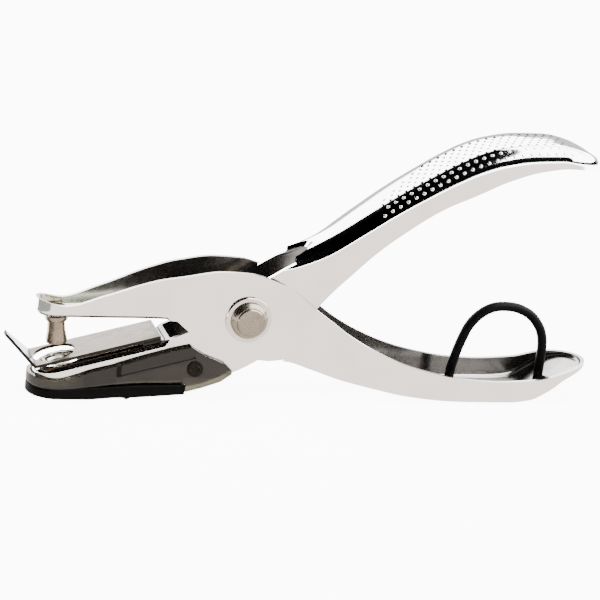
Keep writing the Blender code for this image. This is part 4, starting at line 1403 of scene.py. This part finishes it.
def platform(x: float, up: float = 0.0) -> Pair:
    """A point over the lower jaw's platform.

    Args:
        x: the place along it.
        up: the height square to it.

    Returns:
        The point's x and z.
    """
    level = -0.0139 + math.tan(SLOPE) * (x + 0.0474)
    return (x - up * math.sin(SLOPE), level + up * math.cos(SLOPE))


@dataclass
class Stripper:
    """The spring strip over the lower jaw, with its turned-up front lip."""

    shop: Workshop
    half: float = 0.006
    rear: float = 0.0216
    front: float = 0.0532
    low: float = 0.001
    thick: float = 0.0008
    opening: float = 0.0049
    longer: float = 0.0012
    reach: float = 0.0073
    tip_half: float = 0.0018
    corner: float = 0.0011
    fold: float = 0.0016
    rise: float = math.radians(44)

    def line(self) -> list[Pair]:
        """Lay out the strip's lower line, from its rear end to the lip's tip.

        Returns:
            Its points.
        """
        bend = platform(-self.front, self.low)
        tip = (bend[0] - self.reach, bend[1] + self.reach * math.tan(self.rise))
        points = [platform(-self.rear, self.low)]
        radius = self.fold
        back = radius * math.tan((SLOPE + self.rise) / 2)
        centre_x = bend[0] + back * math.cos(SLOPE) - radius * math.sin(SLOPE)
        centre_z = bend[1] + back * math.sin(SLOPE) + radius * math.cos(SLOPE)
        for step in range(9):
            angle = SLOPE - (SLOPE + self.rise) * step / 8
            points.append((centre_x + radius * math.sin(angle), centre_z - radius * math.cos(angle)))
        return points + [tip]

    def build(self) -> None:
        """Make the strip."""
        lower = self.line()
        upper = []
        for index, (x, z) in enumerate(lower):
            before, after = lower[max(index - 1, 0)], lower[min(index + 1, len(lower) - 1)]
            along = Vector((after[0] - before[0], after[1] - before[1])).normalized()
            upper.append((x + along.y * self.thick, z - along.x * self.thick))
        strip = self.shop.prism("stripper_strip", lower + upper[::-1], -self.half, self.half)
        tip, root = lower[-1][0], -self.front
        side = self.half * 0.999
        far = [(0.0, side), (root, side)]
        for step in range(13):
            turn = math.pi / 2 * step / 12
            across = self.tip_half - self.corner * (1 - math.cos(turn))
            far.append((tip + self.corner * (1 - math.sin(turn)), across))
        plan = far + [(x, -y) for x, y in reversed(far)]
        self.shop.cut(strip, self.shop.prism("plan", plan, -PIVOT_HEIGHT, PIVOT_HEIGHT, "XY"), "INTERSECT")
        for ahead in (0, self.longer):
            place = (STRIP_HOLE.x - ahead, STRIP_HOLE.z - ahead * math.tan(SLOPE))
            self.shop.drill(strip, "hole", self.opening, place, SLOPE, 72)
        self.shop.soften(strip, 0.00012)
        strip = self.shop.finish(strip, "guide", Body.INNER, ("stripper_plate",))
        # Painted shade: the strip's side faces and forward-facing end faces get the dark steel finish
        self.shop.reface(strip, "dark", lambda face: abs(face.normal.y) > 0.75 or face.normal.x < -0.8)


@dataclass
class Die:
    """The hardened bush in the platform, sunk a little round its bore."""

    shop: Workshop
    place: tuple = (-0.046327, 0, -0.01361)
    ring: float = 0.0038

    def build(self) -> None:
        """Make the bush."""
        profile = [
            (0.00366, 0), (0.0042, 0), (0.00432, -0.00012), (0.00432, -0.0024), (0.00292, -0.0024),
            (0.00292, -0.0013), (0.0035, -0.0009), (0.0036, -0.0001),
        ]
        turn = Matrix.Rotation(-DIE_TILT, 4, "Y")
        die = self.shop.finish(
            self.shop.turned("die_bush_fine", profile, self.place, turn, 72), "tool", Body.INNER, ("die_bush",)
        )
        axis = Vector(self.place)
        # Painted shade: the sunk ring and the bore get the dark inside finish
        self.shop.reface(die, "lining", lambda face: (face.center - axis).to_2d().length < self.ring)


@dataclass
class Tray:
    """The smoky chip tray and its black base, with the bore for its pin."""

    shop: Workshop
    length: float = 0.0544
    end: float = -0.015
    base_end: float = -0.01463
    half: float = 0.0072
    nose: float = 0.0074
    wall: float = 0.001
    inside: float = 0.00625
    proud: float = 0.0003
    boss: float = 0.00195

    def build(self) -> None:
        """Make the tray and the base."""
        corner = Line([(-self.length, 0.0012), (self.end, 0.0012)])
        half = Line([(-self.length, self.half), (self.end, self.half)])
        shell = Channel(
            -self.length, self.end, self.nose, 0, half, TRAY_EDGE, TRAY_FLOOR, corner, self.wall, 60, 6
        )
        tray = shell.build(self.shop, "chip_tray_shell")
        start, stop = LEDGE[0][0], LEDGE[1][0]
        places = [start + (WING[0][0] - start) * step / 8 for step in range(9)]
        band = [(x, TRAY_EDGE(x)) for x in places] + [(stop, LEDGE[1][1]), LEDGE[0]]
        foot, root = WING[-1][0], self.end - 0.0006
        wing = WING + [(foot, TRAY_FLOOR(foot)), (root, TRAY_FLOOR(root)), (root, TRAY_EDGE(root))]
        outside = self.half + self.proud
        for side in (-1, 1):
            for name, outline, out in (("wing", wing, self.half), ("band", band, outside)):
                faces = sorted((side * out, side * self.inside))
                self.shop.cut(tray, self.shop.prism(name, outline, *faces), "UNION")
            faces = sorted((side * (outside + self.proud), side * (self.inside + 0.0002)))
            self.shop.cut(tray, self.shop.rod("boss", self.boss, *faces, TRAY_PIN), "UNION")
        self.shop.drill(tray, "bore", TRAY_BORE, TRAY_PIN)
        self.shop.finish(tray, "smoke", Body.TRAY, ("chip_tray",))
        self.base()

    def base(self) -> None:
        """Make the black strip under the tray."""
        plan = [(self.base_end, -self.half)]
        for step in range(41):
            turn = math.pi * step / 40
            plan.append((-self.length + self.nose * (1 - math.sin(turn)), -self.half * math.cos(turn)))
        plan.append((self.base_end, self.half))
        base = self.shop.prism("tray_base_fine", plan, -0.0273, 0, "XY")
        nub, level, foot = -0.545 * self.length, -0.02174, -PIVOT_HEIGHT
        side = [(-0.0594, foot), (-0.03917, foot), (-0.03264, level), (nub - 0.001, level)]
        side += [(nub, level - 0.0005), (nub + 0.001, level), (-0.010, -0.0204), (-0.010, -0.01814)]
        side += [(x, TRAY_FLOOR(x) - 0.0002) for x in (self.end, -0.0272, -0.0594)]
        self.shop.cut(base, self.shop.prism("side", side, -CUT_REACH, CUT_REACH), "INTERSECT")
        self.shop.soften(base, 0.0003, 3)
        self.shop.finish(base, "black", Body.TRAY, ("tray_base",))


@dataclass
class HangBow:
    """The sheathed wire bow in the lower handle."""

    shop: Workshop
    radius: float = 0.0013

    def build(self) -> None:
        """Make the bow."""
        path = smoothed([Vector((x, 0, z)) for x, z in BOW], 5)
        self.shop.finish(
            self.shop.tube("hang_bow", path, self.radius, 24), "sheath", Body.OUTER, ("hang_loop",)
        )


@dataclass
class PlainNodes:
    """The frame's nodes that are shown as they are."""

    shop: Workshop
    finishes: tuple = (
        ("stripper_spacer", "dark"), ("stripper_rivet_near", "strip"),
        ("stripper_rivet_far", "strip"), ("tray_pin", "shaded"), ("pivot_sleeve", "dark"),
    )

    def build(self) -> None:
        """Dress them."""
        for node, name in self.finishes:
            self.shop.finishes.apply(bpy.data.objects[node], name)


def rectangle(low: tuple, high: tuple) -> list[tuple]:
    """The corners of an upright or lying rectangle.

    Args:
        low: its lowest corner.
        high: the opposite one, with one coordinate the same.

    Returns:
        The four corners, in order.
    """
    if low[0] == high[0]:
        return [low, (low[0], high[1], low[2]), high, (low[0], low[1], high[2])]
    return [low, (high[0], low[1], low[2]), high, (low[0], high[1], high[2])]


@dataclass
class Studio:
    """A pale floor and backdrop, soft lights and the cards that the chrome mirrors."""

    floor_tint: tuple = (0.8, 0.8, 0.8, 1)
    white: float = 11.0
    grey: tuple = (2.3, 2.06, 1.90, 1)
    haze: tuple = (1.1, 1.08, 1.06, 1)
    dark: float = 0.5
    cards: tuple = (
        ("floor_card", "white", (-3, -0.62, -0.002), (3, 0.4, -0.002)),
        ("far_floor_card", "haze", (-3, 0.4, -0.002), (3, 3, -0.002)),
        ("far_card", "haze", (-4, 2.5, -1), (4, 2.5, 0.75)),
        ("backdrop_card", "white", (-4, 2.5, 0.75), (4, 2.5, 2.4)),
        ("side_card", "white", (1.1, -1.4, 0.25), (1.1, 0.6, 1.7)),
        ("ceiling_card", "white", (0.3, -3.2, 2), (3, 1.6, 2)),
        ("dark_card", "dark", (-0.32, -0.11, -0.0005), (-0.1, 0.03, -0.0005)),
        ("shade_card", "grey", (-0.15, -0.30, -0.001), (0.3, 0.02, -0.001)),
    )

    def lit(self, title: str, strength: float, tint: tuple = (1, 1, 1, 1)) -> bpy.types.Material:
        """A glowing card's material.

        Args:
            title: its name.
            strength: how bright it is.
            tint: its colour.

        Returns:
            The material.
        """
        bench = Bench(title)
        bench.principled(
            Base_Color=(0, 0, 0, 1), Roughness=1.0, Specular_IOR_Level=0.0, Emission_Color=tint,
            Emission_Strength=strength,
        )
        return bench.material

    def plate(self, title: str, corners: list[tuple], material: bpy.types.Material) -> bpy.types.Object:
        """A flat staged card.

        Args:
            title: its name.
            corners: its corners, in order.
            material: its material.

        Returns:
            The card.
        """
        data = bpy.data.meshes.new(title)
        data.from_pydata(corners, [], [tuple(range(len(corners)))])
        data.materials.append(material)
        made = placed(title, data)
        return made

    def mirrored(self, title: str, corners: list[tuple], material: bpy.types.Material) -> bpy.types.Object:
        """A card that only mirrors and clear plastic see.

        Args:
            title: its name.
            corners: its corners, in order.
            material: its material.

        Returns:
            The card.
        """
        made = self.plate(title, corners, material)
        made.visible_camera = False
        made.visible_diffuse = False
        made.visible_shadow = False
        return made

    def build(self) -> None:
        """Make the floor, the backdrop, the cards and the lamps."""
        bench = Bench("studio_floor")
        bench.principled(
            Base_Color=self.floor_tint, Roughness=0.9, Specular_IOR_Level=0.0, Emission_Color=(1, 1, 1, 1),
            Emission_Strength=self.white * 0.85,
        )
        floor = self.plate("floor", rectangle((-3, -3, 0), (3, 3, 0)), bench.material)
        floor.visible_glossy = False
        floor.visible_diffuse = False
        floor.visible_transmission = False
        glow = {
            "white": self.lit("white_card", self.white), "haze": self.lit("haze_card", 1.0, self.haze),
            "dark": self.lit("black_card", self.dark), "grey": self.lit("grey_card", 1.0, self.grey),
        }
        for title, tone, low, high in self.cards:
            self.mirrored(title, rectangle(low, high), glow[tone])
        world = bpy.data.worlds.new("pale_room")
        world.use_nodes = True
        light = world.node_tree.nodes["Background"].inputs
        light["Color"].default_value = (1, 1, 1, 1)
        light["Strength"].default_value = self.white
        world.cycles_visibility.glossy = False
        world.cycles_visibility.diffuse = False
        world.cycles_visibility.transmission = False
        bpy.context.scene.world = world
        self.lamp("key", (-0.5, -0.4, 1.3), (0.9, 0.9), 30)
        self.lamp("fill", (0.7, -0.9, 0.9), (0.8, 0.8), 12)
        self.lamp("top", (0.0, 0.3, 1.5), (1.6, 1.0), 30)

    def lamp(self, title: str, place: tuple, size: Pair, power: float) -> None:
        """A soft area lamp aimed at the punch.

        Args:
            title: its name.
            place: where it hangs.
            size: its width and height.
            power: its watts.
        """
        data = bpy.data.lights.new(title, "AREA")
        data.shape = "RECTANGLE"
        data.size, data.size_y = size
        data.energy = power
        made = placed(title, data)
        made.location = place
        made.rotation_euler = (Vector((0, 0, 0.03)) - Vector(place)).to_track_quat("-Z", "Y").to_euler()
        made.visible_glossy = False


@dataclass
class PhotoCamera:
    """The camera that took the photograph."""

    azimuth: float = math.radians(-18)
    elevation: float = math.radians(18.6)
    roll: float = math.radians(7)
    place: tuple = (-0.17322, -0.52420, 0.21079)

    def build(self) -> None:
        """Make the camera."""
        a, e = self.azimuth, self.elevation
        back = Vector((math.sin(a) * math.cos(e), -math.cos(a) * math.cos(e), math.sin(e)))
        right = Vector((math.cos(a), math.sin(a), 0))
        up = back.cross(right)
        across = right * math.cos(self.roll) + up * math.sin(self.roll)
        above = up * math.cos(self.roll) - right * math.sin(self.roll)
        data = bpy.data.cameras.new("photo_camera")
        data.lens, data.sensor_width = 135, 36
        data.clip_start, data.clip_end = 0.01, 20
        camera = placed("photo_camera", data)
        turn = Matrix((across, above, back)).transposed()
        camera.matrix_world = Matrix.Translation(Vector(self.place)) @ turn.to_4x4()
        bpy.context.scene.camera = camera


def main() -> None:
    """Build the punch's pieces in order, then the studio and the camera."""
    logging.basicConfig(level=logging.INFO, format="%(message)s")
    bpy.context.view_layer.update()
    shop = Workshop(Finishes())
    for part in (OuterLever, InnerLever, Pivot, ReturnSpring, Punch, Stripper, Die, Tray, HangBow, PlainNodes):
        part(shop).build()
        LOG.info("%s built", part.__name__)
    Studio().build()
    PhotoCamera().build()


if __name__ == "__main__":
    main()
